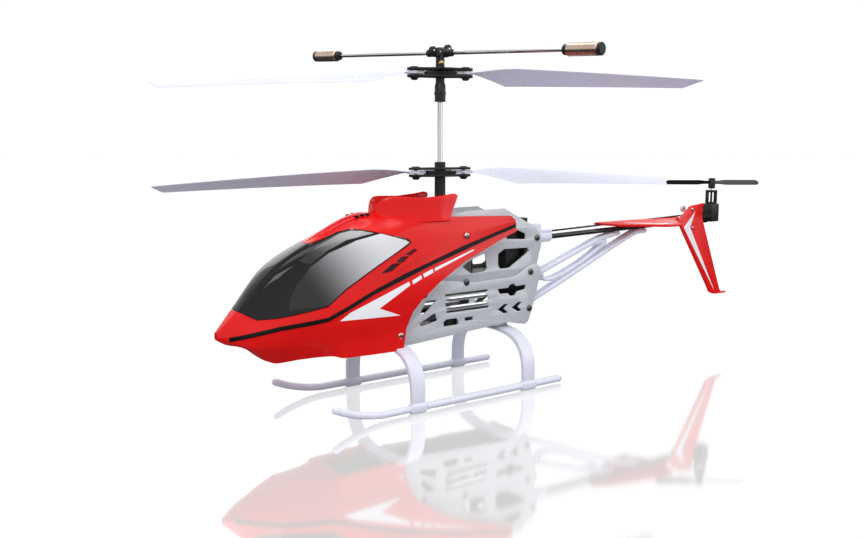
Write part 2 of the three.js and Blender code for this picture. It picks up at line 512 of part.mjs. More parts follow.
const HEAD_POST_PROFILE = [[0, 151.7], [2.85, 151.7], [2.85, 160.4], [2.3, 162], [2.3, 179], [0, 179]];
add('shaft_outer', cut(post(0, 0, OUTER_SHAFT.r, OUTER_SHAFT.low, OUTER_SHAFT.high, 24),
  post(0, 0, OUTER_SHAFT.bore, OUTER_SHAFT.low - 1, OUTER_SHAFT.high + 1, 24)), 'black');
add('shaft_inner', post(0, 0, INNER_SHAFT.r, INNER_SHAFT.low, INNER_SHAFT.high, 20), 'steel');
add('head_post', turned(HEAD_POST_PROFILE, 20), 'black');

// ---- flybar ----
const bar = new THREE.Group();
bar.position.set(0, 0, FLYBAR_Z);
bar.rotation.set(0, radians(FLYBAR_TILT), radians(FLYBAR_AZ), 'ZYX');
helicopter.add(bar);
const yokeRing = cut(
  join(block(-8.6, 8.6, -4.2, 4.2, -1.9, 1.9), block(-5.2, 5.2, -5.2, 5.2, -1.6, 1.6)),
  post(0, 0, 3.1, -5, 5, 20),
  rod([-20, 0, 0], [-2.9, 0, 0], 1.3), rod([2.9, 0, 0], [20, 0, 0], 1.3),
  ...[1, -1].map((end) => rod([end * LINK_BAR_X, end * -6, 0], [end * LINK_BAR_X, end * -2.2, 0], 0.9, 12)));
add('flybar_yoke', yokeRing, 'black', bar);
[['a', 1], ['b', -1]].forEach(([name, end]) => {
  add(`flybar_rod_${name}`, rod([end * 3.6, 0, 0], [end * (FLYBAR_HALF + 8), 0, 0], 1.0, 12), 'steel', bar);
  const weight = cut(rod([end * (FLYBAR_HALF - 10), 0, 0], [end * (FLYBAR_HALF + 10), 0, 0], 3.1, 20),
    rod([end * (FLYBAR_HALF - 12), 0, 0], [end * (FLYBAR_HALF + 8.4), 0, 0], 1.0 + GAP, 12));
  add(`flybar_weight_${name}`, weight, 'champagne', bar);
  const link = join(
    block(LINK_BAR_X - 0.9, LINK_BAR_X + 0.9, LINK_BAR_Y - 1.1, LINK_BAR_Y + 1.1, -6.9, 1.4),
    rod([LINK_BAR_X, LINK_BAR_Y, 0], [LINK_BAR_X, -4.6, 0], 0.6, 10));
  add(`link_${name}`, link.rotateZ(end > 0 ? 0 : Math.PI), 'black', bar);
});

export default helicopter;
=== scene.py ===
"""Remote control helicopter with coaxial rotors, dressed over its CAD frame.

Lengths in the shape tables are millimetres measured from the mast axis: nose -X, tail +X, up +Z.
"""
import math
from contextlib import contextmanager

import bmesh
import bpy
from mathutils import Matrix, Vector
from mathutils.bvhtree import BVHTree

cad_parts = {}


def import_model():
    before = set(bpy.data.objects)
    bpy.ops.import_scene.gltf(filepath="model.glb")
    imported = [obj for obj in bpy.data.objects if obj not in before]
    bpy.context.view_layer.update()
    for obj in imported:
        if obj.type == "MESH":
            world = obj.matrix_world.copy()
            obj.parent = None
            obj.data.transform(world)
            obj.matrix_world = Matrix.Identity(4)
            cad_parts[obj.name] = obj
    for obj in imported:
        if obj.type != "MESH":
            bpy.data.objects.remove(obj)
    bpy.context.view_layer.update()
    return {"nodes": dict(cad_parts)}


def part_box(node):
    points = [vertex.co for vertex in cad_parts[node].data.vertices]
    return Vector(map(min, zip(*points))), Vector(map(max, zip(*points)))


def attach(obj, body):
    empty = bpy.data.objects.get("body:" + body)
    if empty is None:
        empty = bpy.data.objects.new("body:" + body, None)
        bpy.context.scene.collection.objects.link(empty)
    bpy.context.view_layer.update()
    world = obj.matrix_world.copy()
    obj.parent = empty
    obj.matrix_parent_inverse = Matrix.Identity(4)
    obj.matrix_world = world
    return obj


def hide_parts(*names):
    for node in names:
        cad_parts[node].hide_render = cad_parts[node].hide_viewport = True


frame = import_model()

MM = 0.001
SIDES = (("right", 1), ("left", -1))
ENDS = (("a", 1), ("b", -1))


# ---- places taken from the frame ----
def centre_mm(node):
    """Middle of a CAD node's box, in millimetres of the row frame."""
    low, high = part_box(node)
    return (low + high) / (2 * MM)


def low_mm(node):
    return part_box(node)[0] / MM


def high_mm(node):
    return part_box(node)[1] / MM


MAST_X = centre_mm("shaft_inner").x


def world(point):
    """Millimetres from the mast axis to metres in the row frame."""
    return Vector(((point[0] + MAST_X) * MM, point[1] * MM, point[2] * MM))


# ---- driving dimensions ----
ROTOR_R = 145
LOWER_HUB_Z = low_mm("hub_lower_bottom").z
UPPER_HUB_Z = low_mm("hub_upper_bottom").z
HUB_RISE = 3.6
HUB_PLATE = 1.3
ROOT_PIN_R = 13.5
LOWER_BLADE_AZ = -13.5
UPPER_BLADE_AZ = -24.4
BLADE_PITCH = 22
FLYBAR_AZ = -76.9
FLYBAR_Z = 176.3
FLYBAR_TILT = 2.7
FLYBAR_HALF = 85
SKID_Y = 30.8
SKID_Z = 2.6
SKID_R = 1.9
LEG_X = (-36, 36)
LEG_WIDTH = 8
LEG_SQUARE = 0.62
LEG_TOP = 31.4
PLATE_INNER = (low_mm("plate_upper_right").y, high_mm("plate_upper_right").y)
PLATE_OUTER = (low_mm("plate_lower_right").y, high_mm("plate_lower_right").y)
SHELL = 1.2
GAP = 0.3
BOOM_R = 1.5
TAIL_ROTOR_X = 228.2
TAIL_ROTOR_R = 31
PROP_AZ = -38


# ---- materials ----
def node_tree(name):
    material = bpy.data.materials.new(name)
    material.use_nodes = True
    tree = material.node_tree
    shader = tree.nodes["Principled BSDF"]
    coords = tree.nodes.new("ShaderNodeTexCoord")
    return material, tree, shader, coords


def given(node, **values):
    """Sets inputs of a node; a space in an input's name is written as _."""
    for name, value in values.items():
        node.inputs[name.replace("_", " ")].default_value = value
    return node


def noise(tree, coords, scale, detail=3.0):
    texture = given(tree.nodes.new("ShaderNodeTexNoise"), Scale=scale, Detail=detail)
    tree.links.new(coords.outputs["Object"], texture.inputs["Vector"])
    return texture.outputs["Fac"]


def spread(tree, value, low, high, start=0.3, end=0.7):
    """Maps a value's range from start to end onto low to high."""
    ranged = given(tree.nodes.new("ShaderNodeMapRange"), From_Min=start, From_Max=end, To_Min=low,
        To_Max=high)
    tree.links.new(value, ranged.inputs["Value"])
    return ranged.outputs["Result"]


def mixed(tree, factor, first, second):
    mix = tree.nodes.new("ShaderNodeMix")
    mix.data_type = "RGBA"
    mix.inputs["A"].default_value = (*first, 1)
    mix.inputs["B"].default_value = (*second, 1)
    tree.links.new(factor, mix.inputs["Factor"])
    return mix.outputs["Result"]


def bumped(tree, shader, height, strength, distance):
    bump = given(tree.nodes.new("ShaderNodeBump"), Strength=strength, Distance=distance)
    tree.links.new(height, bump.inputs["Height"])
    tree.links.new(bump.outputs["Normal"], shader.inputs["Normal"])


# noise scales: clouds in the colour, smears in the gloss and the grain of the surface
CLOUD, SMEAR, GRAIN = 60, 360, 2600


def moulded(name, first, second, rough, coat=0.0, grain=GRAIN, grain_depth=0.00001, metallic=0.0,
        gloss=0.35):
    """Plastic or metal: cloudy colour, uneven gloss and a fine surface grain."""
    material, tree, shader, coords = node_tree(name)
    cloud = spread(tree, noise(tree, coords, CLOUD, 4.0), 0, 1)
    tree.links.new(mixed(tree, cloud, first, second), shader.inputs["Base Color"])
    tree.links.new(spread(tree, noise(tree, coords, SMEAR, 5.0), *rough), shader.inputs["Roughness"])
    bumped(tree, shader, noise(tree, coords, grain, 2.0), 0.35, grain_depth)
    given(shader, Metallic=metallic, Coat_Weight=coat, Coat_Roughness=0.04, Specular_IOR_Level=gloss)
    return material


def speckled(name):
    """Silver grey plate moulding with fine metal flakes."""
    material, tree, shader, coords = node_tree(name)
    flakes = given(tree.nodes.new("ShaderNodeTexVoronoi"), Scale=2200)
    tree.links.new(coords.outputs["Object"], flakes.inputs["Vector"])
    brightness = tree.nodes.new("ShaderNodeSeparateColor")
    tree.links.new(flakes.outputs["Color"], brightness.inputs["Color"])
    flake = spread(tree, brightness.outputs["Red"], 0, 1, 0.1, 0.9)
    tint = mixed(tree, flake, (0.56, 0.575, 0.60), (0.64, 0.655, 0.68))
    tree.links.new(tint, shader.inputs["Base Color"])
    tree.links.new(spread(tree, noise(tree, coords, 500, 4.0), 0.36, 0.42), shader.inputs["Roughness"])
    bumped(tree, shader, brightness.outputs["Green"], 0.12, 0.000004)
    given(shader, Metallic=0.15, Specular_IOR_Level=0.3)
    return material


def painted_reflection_band(name, base, bright, low_point, high_point):
    """Painted reflection on the window glass: dark at low_point, fading to a pale grey at high_point (mast
    frame, mm).
    """
    material, tree, shader, coords = node_tree(name)
    start, end = world(low_point), world(high_point)
    run = end - start
    offset = tree.nodes.new("ShaderNodeVectorMath")
    offset.operation = "SUBTRACT"
    offset.inputs[1].default_value = start
    tree.links.new(coords.outputs["Object"], offset.inputs[0])
    dot = tree.nodes.new("ShaderNodeVectorMath")
    dot.operation = "DOT_PRODUCT"
    dot.inputs[1].default_value = run / run.length_squared
    tree.links.new(offset.outputs["Vector"], dot.inputs[0])
    ramp = tree.nodes.new("ShaderNodeValToRGB")
    ramp.color_ramp.interpolation = "EASE"
    ramp.color_ramp.elements[0].color = (*base, 1)
    ramp.color_ramp.elements[1].color = (*bright, 1)
    tree.links.new(dot.outputs["Value"], ramp.inputs["Fac"])
    tree.links.new(ramp.outputs["Color"], shader.inputs["Base Color"])
    tree.links.new(spread(tree, noise(tree, coords, 300), 0.12, 0.2), shader.inputs["Roughness"])
    bumped(tree, shader, noise(tree, coords, GRAIN, 2.0), 0.2, 0.000006)
    return material


RED = moulded("red_gloss", (0.76, 0.003, 0.003), (0.82, 0.005, 0.004), (0.2, 0.27), coat=0.08,
    grain_depth=0.000003, gloss=0.25)
SMOKED = moulded("smoked_gloss", (0.006, 0.005, 0.005), (0.012, 0.010, 0.010), (0.06, 0.1), coat=0.12,
    grain_depth=0.000001, gloss=0.2)
PLATE = speckled("plate_silver")
LOUVRE = moulded("louvre_silver", (0.62, 0.63, 0.66), (0.75, 0.76, 0.79), (0.18, 0.28), metallic=0.9)
WHITE = moulded("white_moulding", (0.80, 0.81, 0.92), (0.85, 0.86, 0.95), (0.22, 0.32), coat=0.1,
    grain_depth=0.000003)
BLADE = moulded("blade_moulding", (0.68, 0.69, 0.79), (0.72, 0.73, 0.82), (0.26, 0.36),
    grain_depth=0.000002)
BLACK = moulded("black_moulding", (0.012, 0.012, 0.013), (0.022, 0.021, 0.022), (0.32, 0.45), gloss=0.3)
CARBON = moulded("boom_carbon", (0.010, 0.010, 0.011), (0.020, 0.020, 0.022), (0.2, 0.3), coat=0.3)
STEEL = moulded("turned_steel", (0.55, 0.55, 0.56), (0.62, 0.62, 0.63), (0.16, 0.22), metallic=1.0,
    grain=1800, grain_depth=0.000002)
DARK_STEEL = moulded("dark_steel", (0.13, 0.13, 0.133), (0.2, 0.2, 0.203), (0.2, 0.3), metallic=0.9)
CHAMPAGNE = moulded("champagne_metal", (0.50, 0.37, 0.30), (0.60, 0.46, 0.38), (0.22, 0.34), metallic=1.0)
BRASS = moulded("brass_metal", (0.50, 0.34, 0.12), (0.60, 0.42, 0.16), (0.2, 0.35), metallic=1.0)
NYLON = moulded("gear_nylon", (0.70, 0.68, 0.62), (0.78, 0.76, 0.70), (0.4, 0.55))
FOIL = moulded("battery_wrap_film", (0.03, 0.05, 0.16), (0.05, 0.08, 0.22), (0.25, 0.4),
    grain_depth=0.00008)
# black of the printed stripe, also used as painted shade in the roof vent slits
PRINT_BLACK_AND_SLOT_SHADE = moulded("print_black_and_slot_shade", (0.006, 0.005, 0.005), (0.010, 0.009, 0.009), (0.2, 0.3), gloss=0.12)
PRINT_WHITE = moulded("print_white", (0.93, 0.93, 0.93), (0.97, 0.97, 0.97), (0.2, 0.3), coat=0.2)
# painted reflection: both window sheets grade from near black to pale grey across the smoked glass
WINDOW_PAINTED_REFLECTION = painted_reflection_band("window_painted_reflection", (0.008, 0.007, 0.007), (0.78, 0.78, 0.79), (-84, 0, 60), (-44, 0, 84))
TOP_WINDOW_PAINTED_REFLECTION = painted_reflection_band("window_top_painted_reflection", (0.02, 0.018, 0.018), (0.42, 0.41, 0.41), (-84, 0, 77), (-54, 0, 88))


# ---- mesh helpers ----
def shade(mesh, angle):
    for polygon in mesh.polygons:
        polygon.use_smooth = True
    mesh.set_sharp_from_angle(angle=math.radians(angle))


@contextmanager
def editing(mesh):
    """Opens a mesh for editing and writes it back."""
    body = bmesh.new()
    body.from_mesh(mesh)
    yield body
    body.to_mesh(mesh)
    body.free()


def make(name, points, faces, material, angle=32):
    """A mesh object from points in millimetres of the mast frame."""
    mesh = bpy.data.meshes.new(name)
    mesh.from_pydata([world(p) for p in points], [], faces)
    mesh.validate()
    with editing(mesh) as body:
        bmesh.ops.recalc_face_normals(body, faces=body.faces)
    mesh.materials.append(material)
    shade(mesh, angle)
    item = bpy.data.objects.new(name, mesh)
    bpy.context.scene.collection.objects.link(item)
    return item


def applied(item, angle=32):
    """Bakes the modifiers into the mesh."""
    graph = bpy.context.evaluated_depsgraph_get()
    mesh = bpy.data.meshes.new_from_object(item.evaluated_get(graph))
    item.modifiers.clear()
    item.data = mesh
    shade(mesh, angle)
    return item


def softened(item, width, segments=2, angle=32):
    """Rounds the edges of a piece."""
    bevel = item.modifiers.new("edges", "BEVEL")
    bevel.width = width * MM
    bevel.segments = segments
    bevel.limit_method = "ANGLE"
    bevel.angle_limit = math.radians(angle)
    return applied(item, angle)


def combined(item, tool, operation="DIFFERENCE", angle=32):
    """Cuts item with tool, or keeps what they share, and removes the tool."""
    cutter = item.modifiers.new("cut", "BOOLEAN")
    cutter.operation = operation
    cutter.solver = "MANIFOLD"
    cutter.object = tool
    applied(item, angle)
    bpy.data.objects.remove(tool)
    return item


def joined(name, items):
    """One object from several that share a body and a material."""
    bpy.ops.object.select_all(action="DESELECT")
    for item in items:
        item.select_set(True)
    bpy.context.view_layer.objects.active = items[0]
    bpy.ops.object.join()
    items[0].name = name
    return items[0]


def dress(item, body, slot, *nodes):
    """Names the body a piece rides on and the CAD nodes it stands in for; the slot argument is not used."""
    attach(item, body)
    if nodes:
        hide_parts(*nodes)


def loft(rings):
    """Points and faces of a closed body through rings of equal length."""
    size = len(rings[0])
    points = [p for ring in rings for p in ring]
    faces = []
    for i in range(len(rings) - 1):
        for j in range(size):
            k = (j + 1) % size
            faces.append((i * size + j, i * size + k, (i + 1) * size + k, (i + 1) * size + j))
    faces.append(tuple(range(size)))
    faces.append(tuple(range((len(rings) - 1) * size, len(rings) * size)))
    return points, faces


def frame_of(direction):
    """The unit direction and two directions square to it."""
    along = Vector(direction).normalized()
    helper = Vector((0, 0, 1)) if abs(along.z) < 0.9 else Vector((0, 1, 0))
    side = along.cross(helper).normalized()
    return along, side, side.cross(along)


def lathe(name, profile, origin, direction, material, segments=40, angle=32):
    """Turns a profile of [radius, distance along direction] about a line from origin."""
    along, side, up = frame_of(direction)
    start = Vector(origin)
    points, ring_of = [], []
    for radius, distance in profile:
        centre = start + along * distance
        count = segments if radius else 1
        ring_of.append(list(range(len(points), len(points) + count)))
        for i in range(count):
            turn = 2 * math.pi * i / segments
            points.append(tuple(centre + side * radius * math.cos(turn) + up * radius * math.sin(turn)))
    faces = []
    for first, second in zip(ring_of, ring_of[1:]):
        for i in range(segments):
            k = (i + 1) % segments
            corners = [first[i % len(first)], first[k % len(first)], second[k % len(second)],
                second[i % len(second)]]
            faces.append(tuple(dict.fromkeys(corners)))
    for ring in (ring_of[0], ring_of[-1]):
        if len(ring) > 1:
            faces.append(tuple(ring))
    return make(name, points, faces, material, angle)


def collar(bore, radius, low, high, ease=0.3, rise=0.3):
    """Closed profile of a ring with its outer corners taken off."""
    return [[bore, low], [radius - ease, low], [radius, low + rise], [radius, high - rise],
        [radius - ease, high], [bore, high], [bore, low]]


def rounded_rod(name, start, end, radius, material, round_off=0.35, segments=28):
    run = Vector(end) - Vector(start)
    length = run.length
    ease = radius * round_off
    profile = [[0, 0], [radius - ease, 0], [radius - ease * 0.3, ease * 0.3], [radius, ease],
        [radius, length - ease], [radius - ease * 0.3, length - ease * 0.3], [radius - ease, length],
        [0, length]]
    return lathe(name, profile, start, run, material, segments)


def rounded_span(a, b, c, d, count=8):
    """Points from b towards c on the Catmull-Rom curve through a, b, c and d."""
    steps = [i / count for i in range(count)]
    return [0.5 * ((2 * b) + (c - a) * t + (2 * a - 5 * b + 4 * c - d) * t * t
        + (3 * b - a - 3 * c + d) * t ** 3) for t in steps]


def smooth_path(points, per_span=8):
    """Smooth curve through the points."""
    path = [Vector(p) for p in points]
    ends = [path[0] * 2 - path[1]] + path + [path[-1] * 2 - path[-2]]
    spans = zip(ends, ends[1:], ends[2:], ends[3:])
    return [p for span in spans for p in rounded_span(*span, per_span)] + [path[-1]]


def swept(name, path, section, material, lead=(0, 0, 1), taper=None, angle=40):
    """Sweeps a closed section, in [side, up], along a path; up stays close to lead."""
    rings = []
    count = len(path)
    for i, centre in enumerate(path):
        direction = (path[min(i + 1, count - 1)] - path[max(i - 1, 0)]).normalized()
        side = direction.cross(Vector(lead)).normalized()
        up = side.cross(direction)
        scale = taper(i / (count - 1)) if taper else 1
        rings.append([tuple(centre + side * u * scale + up * v * scale) for u, v in section])
    points, faces = loft(rings)
    return make(name, points, faces, material, angle)


def ellipse(a, b, count=16):
    turns = [2 * math.pi * i / count for i in range(count)]
    return [(a * math.cos(turn), b * math.sin(turn)) for turn in turns]


# distance past the end of a tube and width there, both as a share of its radius
DOME = ((1.0, 0.10), (0.87, 0.5), (0.5, 0.87))


def tube(name, points, radius, material, sides=20):
    """Round tube along a smooth path, with domed ends."""
    path = smooth_path(points)
    start = (path[1] - path[0]).normalized() * radius
    end = (path[-1] - path[-2]).normalized() * radius
    path = [path[0] - start * c for c, _ in DOME] + path + [path[-1] + end * c for c, _ in reversed(DOME)]
    last = len(path) - 1
    scale = {place: size for i, (_, size) in enumerate(DOME) for place in (i, last - i)}
    return swept(name, path, ellipse(radius, radius, sides), material,
        taper=lambda t: scale.get(round(t * last), 1))


def eased(points, radius, steps=4):
    """Rounds the corners of a closed outline in two dimensions."""
    out = []
    count = len(points)
    for i, point in enumerate(points):
        corner = Vector(point)
        before = Vector(points[i - 1])
        after = Vector(points[(i + 1) % count])
        reach = min(radius, (corner - before).length * 0.45, (after - corner).length * 0.45)
        start = corner + (before - corner).normalized() * reach
        end = corner + (after - corner).normalized() * reach
        for k in range(steps + 1):
            t = k / steps
            out.append(tuple(start * (1 - t) ** 2 + corner * 2 * t * (1 - t) + end * t * t))
    return out


AXES = {
    "side": lambda u, v, w: (u, w, v),
    "floor": lambda u, v, w: (u, v, w),
    "cross": lambda u, v, w: (w, u, v),
}


def sheet_metal(name, outline, holes, plane, low, high, material, bevel=0.12, radius=0.9):
    """A flat plate with rounded corners, holes and softened edges."""
    data = bpy.data.curves.new(name, "CURVE")
    data.dimensions = "2D"
    data.fill_mode = "BOTH"
    data.extrude = (high - low) / 2 - bevel
    data.bevel_depth = bevel
    data.bevel_resolution = 1
    data.offset = -bevel
    for loop in [outline, *holes]:
        corners = eased(loop, radius)
        spline = data.splines.new("POLY")
        spline.points.add(len(corners) - 1)
        for point, (u, v) in zip(spline.points, corners):
            point.co = (u, v, 0, 1)
        spline.use_cyclic_u = True
    holder = bpy.data.objects.new(name, data)
    bpy.context.scene.collection.objects.link(holder)
    graph = bpy.context.evaluated_depsgraph_get()
    flat = bpy.data.meshes.new_from_object(holder.evaluated_get(graph))
    place = AXES[plane]
    points = [place(v.co.x, v.co.y, v.co.z + (low + high) / 2) for v in flat.vertices]
    faces = [tuple(p.vertices) for p in flat.polygons]
    bpy.data.objects.remove(holder)
    item = make(name, points, faces, material, 25)
    with editing(item.data) as body:
        bmesh.ops.remove_doubles(body, verts=body.verts, dist=0.01 * MM)
        bmesh.ops.recalc_face_normals(body, faces=body.faces)
    shade(item.data, 25)
    return item


def prism(name, outline, plane, low, high, material):
    """A solid of one outline, drawn in a plane and carried from low to high."""
    place = AXES[plane]
    count = len(outline)
    points = [place(u, v, low) for u, v in outline] + [place(u, v, high) for u, v in outline]
    faces = [(i, (i + 1) % count, count + (i + 1) % count, count + i) for i in range(count)]
    faces += [tuple(range(count)), tuple(range(count, 2 * count))]
    return make(name, points, faces, material)


def box(name, low, high, material, bevel=0.5, segments=2):
    outline = [(low[0], low[1]), (high[0], low[1]), (high[0], high[1]), (low[0], high[1])]
    item = prism(name, outline, "floor", low[2], high[2], material)
    return softened(item, bevel, segments) if bevel else item


def turned_about_z(item, degrees, centre=(0, 0)):
    """Turns a finished mesh about an upright line through centre (mast frame, mm)."""
    pivot = world((centre[0], centre[1], 0))
    item.data.transform(Matrix.Translation(pivot) @ Matrix.Rotation(math.radians(degrees), 4, "Z")
        @ Matrix.Translation(-pivot))
    return item


def mirror_y(item):
    item.data.transform(Matrix.Scale(-1, 4, (0, 1, 0)))
    item.data.flip_normals()
    return item


def screw(name, centre, direction, radius, material, rise=0.9):
    """Pan head screw with a cross recess."""
    profile = [[0, -0.6], [radius * 0.55, -0.6], [radius * 0.55, 0], [radius, 0], [radius, rise * 0.45],
        [radius * 0.9, rise * 0.75], [radius * 0.6, rise * 0.95], [0, rise]]
    head = lathe(name, profile, centre, direction, material, 24, 40)
    along, side, up = frame_of(direction)
    start = Vector(centre) + along * rise * 0.35
    for first, second in ((side, up), (up, side)):
        corners = []
        for depth in (0, rise):
            for u, v in ((-1, -1), (1, -1), (1, 1), (-1, 1)):
                corners.append(tuple(start + along * depth + first * u * radius * 0.6
                    + second * v * radius * 0.15))
        faces = [(0, 1, 2, 3), (4, 5, 6, 7), (0, 1, 5, 4), (1, 2, 6, 5), (2, 3, 7, 6), (3, 0, 4, 7)]
        combined(head, make("recess", corners, faces, material), angle=40)
    return head


# ---- canopy ----
# rows of [x, half width, height]; a section at x joins the lines in this order
KEEL = ((-125.5, 0, 42.1), (-121, 0, 39.4), (-114.6, 0, 37.6), (-111.2, 0, 36), (-106.8, 0, 32.5),
    (-101, 0, 28.9), (-98, 0, 28.1), (-88, 0, 29.2), (-77, 0, 29.9), (-71, 0, 30), (-35, 0, 28.7),
    (40, 0, 28.9))
SKIRT = ((-125.5, 1.2, 42.1), (-115, 6.4, 38.2), (-110.8, 6.6, 36.2), (-101, 3.6, 29.1), (-98, 4.4, 28.3),
    (-88, 9.5, 29.8), (-77, 13.6, 30.4), (-73, 15, 30.2), (-70, 17.6, 29.4), (-35, 18.3, 28.8),
    (40, 16, 29))
WAIST = ((-125.5, 1.8, 42.7), (-115, 8.6, 39.6), (-110.5, 10.4, 38.4), (-100, 12.8, 37.4),
    (-86, 15.3, 37.5), (-77, 16.6, 37.1), (-73, 17, 36.4), (-70, 17.4, 36.4), (-54, 17.6, 37.9),
    (-36, 17.6, 39.6), (40, 16, 46))
CREASE = ((-125.5, 2.2, 43.2), (-114, 9.5, 44.4), (-100, 15, 46.6), (-77.3, 19, 49), (-60.8, 18.7, 56.4),
    (-44.7, 18.6, 62.4), (0, 17.6, 76.2), (40, 16.2, 86.8))
SILL = ((-125.5, 1.7, 45), (-116, 5.5, 52), (-109.5, 9.4, 50.8), (-100, 13.9, 52), (-78, 18.3, 55.4),
    (-50, 17.6, 68), (-22, 17.1, 80.2), (3, 16.9, 86.1), (40, 16.1, 90.2))
BULGE = ((-125.5, 1.4, 45.4), (-116, 5, 53.6), (-98, 12, 64), (-80, 14.8, 72), (-60, 15.5, 80),
    (-30, 15.4, 87.4), (0, 15.5, 90), (40, 15.6, 91))
BROW = ((-125.5, 1, 45.6), (-116.4, 3.5, 54.9), (-98, 8.5, 72.4), (-80, 9.5, 81.6), (-60, 10.6, 88.2),
    (-42, 9.4, 93.6), (-28, 12.4, 93.4), (0, 14.6, 93.1), (40, 15.2, 91.9))
CREST_LINE = ((-125.5, 0, 45.7), (-116.4, 0, 55.3), (-108.2, 0, 65.2), (-97.9, 0, 74.4), (-87.4, 0, 80.5),
    (-80.3, 0, 83.8), (-47, 0, 96), (-20, 0, 95.4), (0, 0, 94.2), (40, 0, 92.2))
LINES = (KEEL, SKIRT, WAIST, CREASE, SILL, BULGE, BROW, CREST_LINE)
NOSE_X, SHELL_END_X = -125.5, 39.0
STATION_STEP = 1.25
BELLY = ((-68, -13, 20), (-20, 13, 40))
# how far from the middle the cuts reach, and where those of the vents and the rear tip begin
BEYOND, PLATES_REACH, VENT_FROM, TIP_FROM = 30, 13.5, 14.6, 13
REAR_TIP = ((34.5, 92.6), (37, 91.6), (38.6, 89.6), (39.1, 87.4), (44, 87.4), (44, 97), (34.5, 97))
REAR_OPENING = ((-36, 20), (-36, 28), (-33.6, 39.6), (-30.4, 47.5), (-25.4, 52.8), (-14.4, 60.8),
    (2.3, 70.1), (32.9, 81.8), (45, 85.4), (45, 20))
PLATE_SPACE = ((-44, 20), (-44, 76), (-30, 82.5), (-8, 89), (-5, 93), (-5, 110), (45, 110), (45, 20))
GLASS = ((-120, 55.2), (-116.7, 54.9), (-113.6, 53.1), (-109.5, 50.8), (-100.2, 51.4), (-90, 52.9),
    (-77.8, 55), (-67.5, 61.9), (-51.8, 70.4), (-38.3, 77.2), (-30.2, 81.2), (-29.6, 82.2), (-31.7, 84),
    (-47.2, 87.6), (-55.3, 89.4), (-60.4, 89.7), (-65.9, 88.6), (-77.6, 84.3), (-80.3, 83.6), (-83, 95),
    (-120, 95))
STRIPE = ((-121.2, 42.7), (-100.7, 46.9), (-78.2, 49.2), (-68.2, 53), (-52.7, 59.6), (-33.8, 66.4),
    (-19.6, 70.6), (1.4, 77.1), (18.7, 81.6), (38.4, 86.7))
STRIPE_WIDTH = 1.9
ARROW = ((-72.1, 47.8), (-38, 46.7), (-50.4, 51.5), (-32.2, 61.2), (-32.9, 62.9), (-66.7, 51))
DASHES = (((-30.9, 63.3), (-25.5, 65.5), (-25, 63.8), (-30.5, 61.4)),
    ((-24.2, 66), (-18.3, 68.1), (-17.8, 66.3), (-23.6, 64.2)),
    ((-17.1, 68.3), (8.5, 76.1), (8.8, 75.5), (-16.8, 66.8)))
VENTS = (((-49, 67.6), (-41.6, 72.3), (-36.2, 72.5), (-41.4, 68.7)),
    ((-39.8, 72.9), (-35.7, 75.6), (-31.6, 75.2), (-34.8, 72.4)),
    ((-34.2, 76.3), (-27.9, 79), (-26.5, 77.9), (-30.6, 75.5)))
VENT_LIP = ((-50.2, 66.5), (-44, 66.6), (-36.2, 68.5), (-30, 71.6), (-24.4, 75.1), (-18, 76.7),
    (-18.2, 76), (-24, 74.1), (-30, 70.6), (-36, 67.5), (-44, 65.7), (-50, 65.7))
WINDOW = ((-96.4, 54.7), (-95.2, 59.8), (-91.7, 65.8), (-84.2, 73.6), (-74.4, 79.4), (-59.8, 84.4),
    (-46.1, 87), (-33, 83.3), (-30.9, 82), (-38.6, 77.9), (-52, 71.1), (-68, 62.6), (-78, 55.7))
TOP_WINDOW = ((-89, 76.4), (-78.5, 82.4), (-66, 87.6), (-60.4, 88.8), (-55.5, 88.7), (-49.5, 87.4),
    (-64.2, 84.9), (-74.2, 80.8), (-84, 74.8))
SPINE = ((-79.6, 1.6), (-70, 3.2), (-56, 4.4), (-39, 5.2))
SPINE_RISE = 0.9
SPINE_STATIONS = 40
ROOF_SLOT_X = (-53.5, -50.5, -47.5)
SCREW_BOSS = (4.4, 16.9, 83.3)


def slopes(xs, ys):
    """Slopes of a curve through the points that never overshoots them."""
    steps = [(b - a) / (d - c) for a, b, c, d in zip(ys, ys[1:], xs, xs[1:])]
    inner = [0 if a * b <= 0 else 2 * a * b / (a + b) for a, b in zip(steps, steps[1:])]
    return [steps[0]] + inner + [steps[-1]]


def along(line, x):
    """Half width and height of a line at x."""
    xs = [row[0] for row in line]
    x = min(max(x, xs[0]), xs[-1])
    i = max(k for k in range(len(xs) - 1) if xs[k] <= x or k == 0)
    width = xs[i + 1] - xs[i]
    t = (x - xs[i]) / width
    out = []
    for column in (1, 2):
        ys = [row[column] for row in line]
        m = slopes(xs, ys)
        out.append((2 * t ** 3 - 3 * t * t + 1) * ys[i] + (t ** 3 - 2 * t * t + t) * width * m[i]
            + (3 * t * t - 2 * t ** 3) * ys[i + 1] + (t ** 3 - t * t) * width * m[i + 1])
    return out


def share_between(x, start, end):
    """Eases from 0 at start to 1 at end."""
    t = min(1, max(0, (x - start) / (end - start)))
    return t * t * (3 - 2 * t)


CRISP_FROM, CRISP_TO = -66, -46


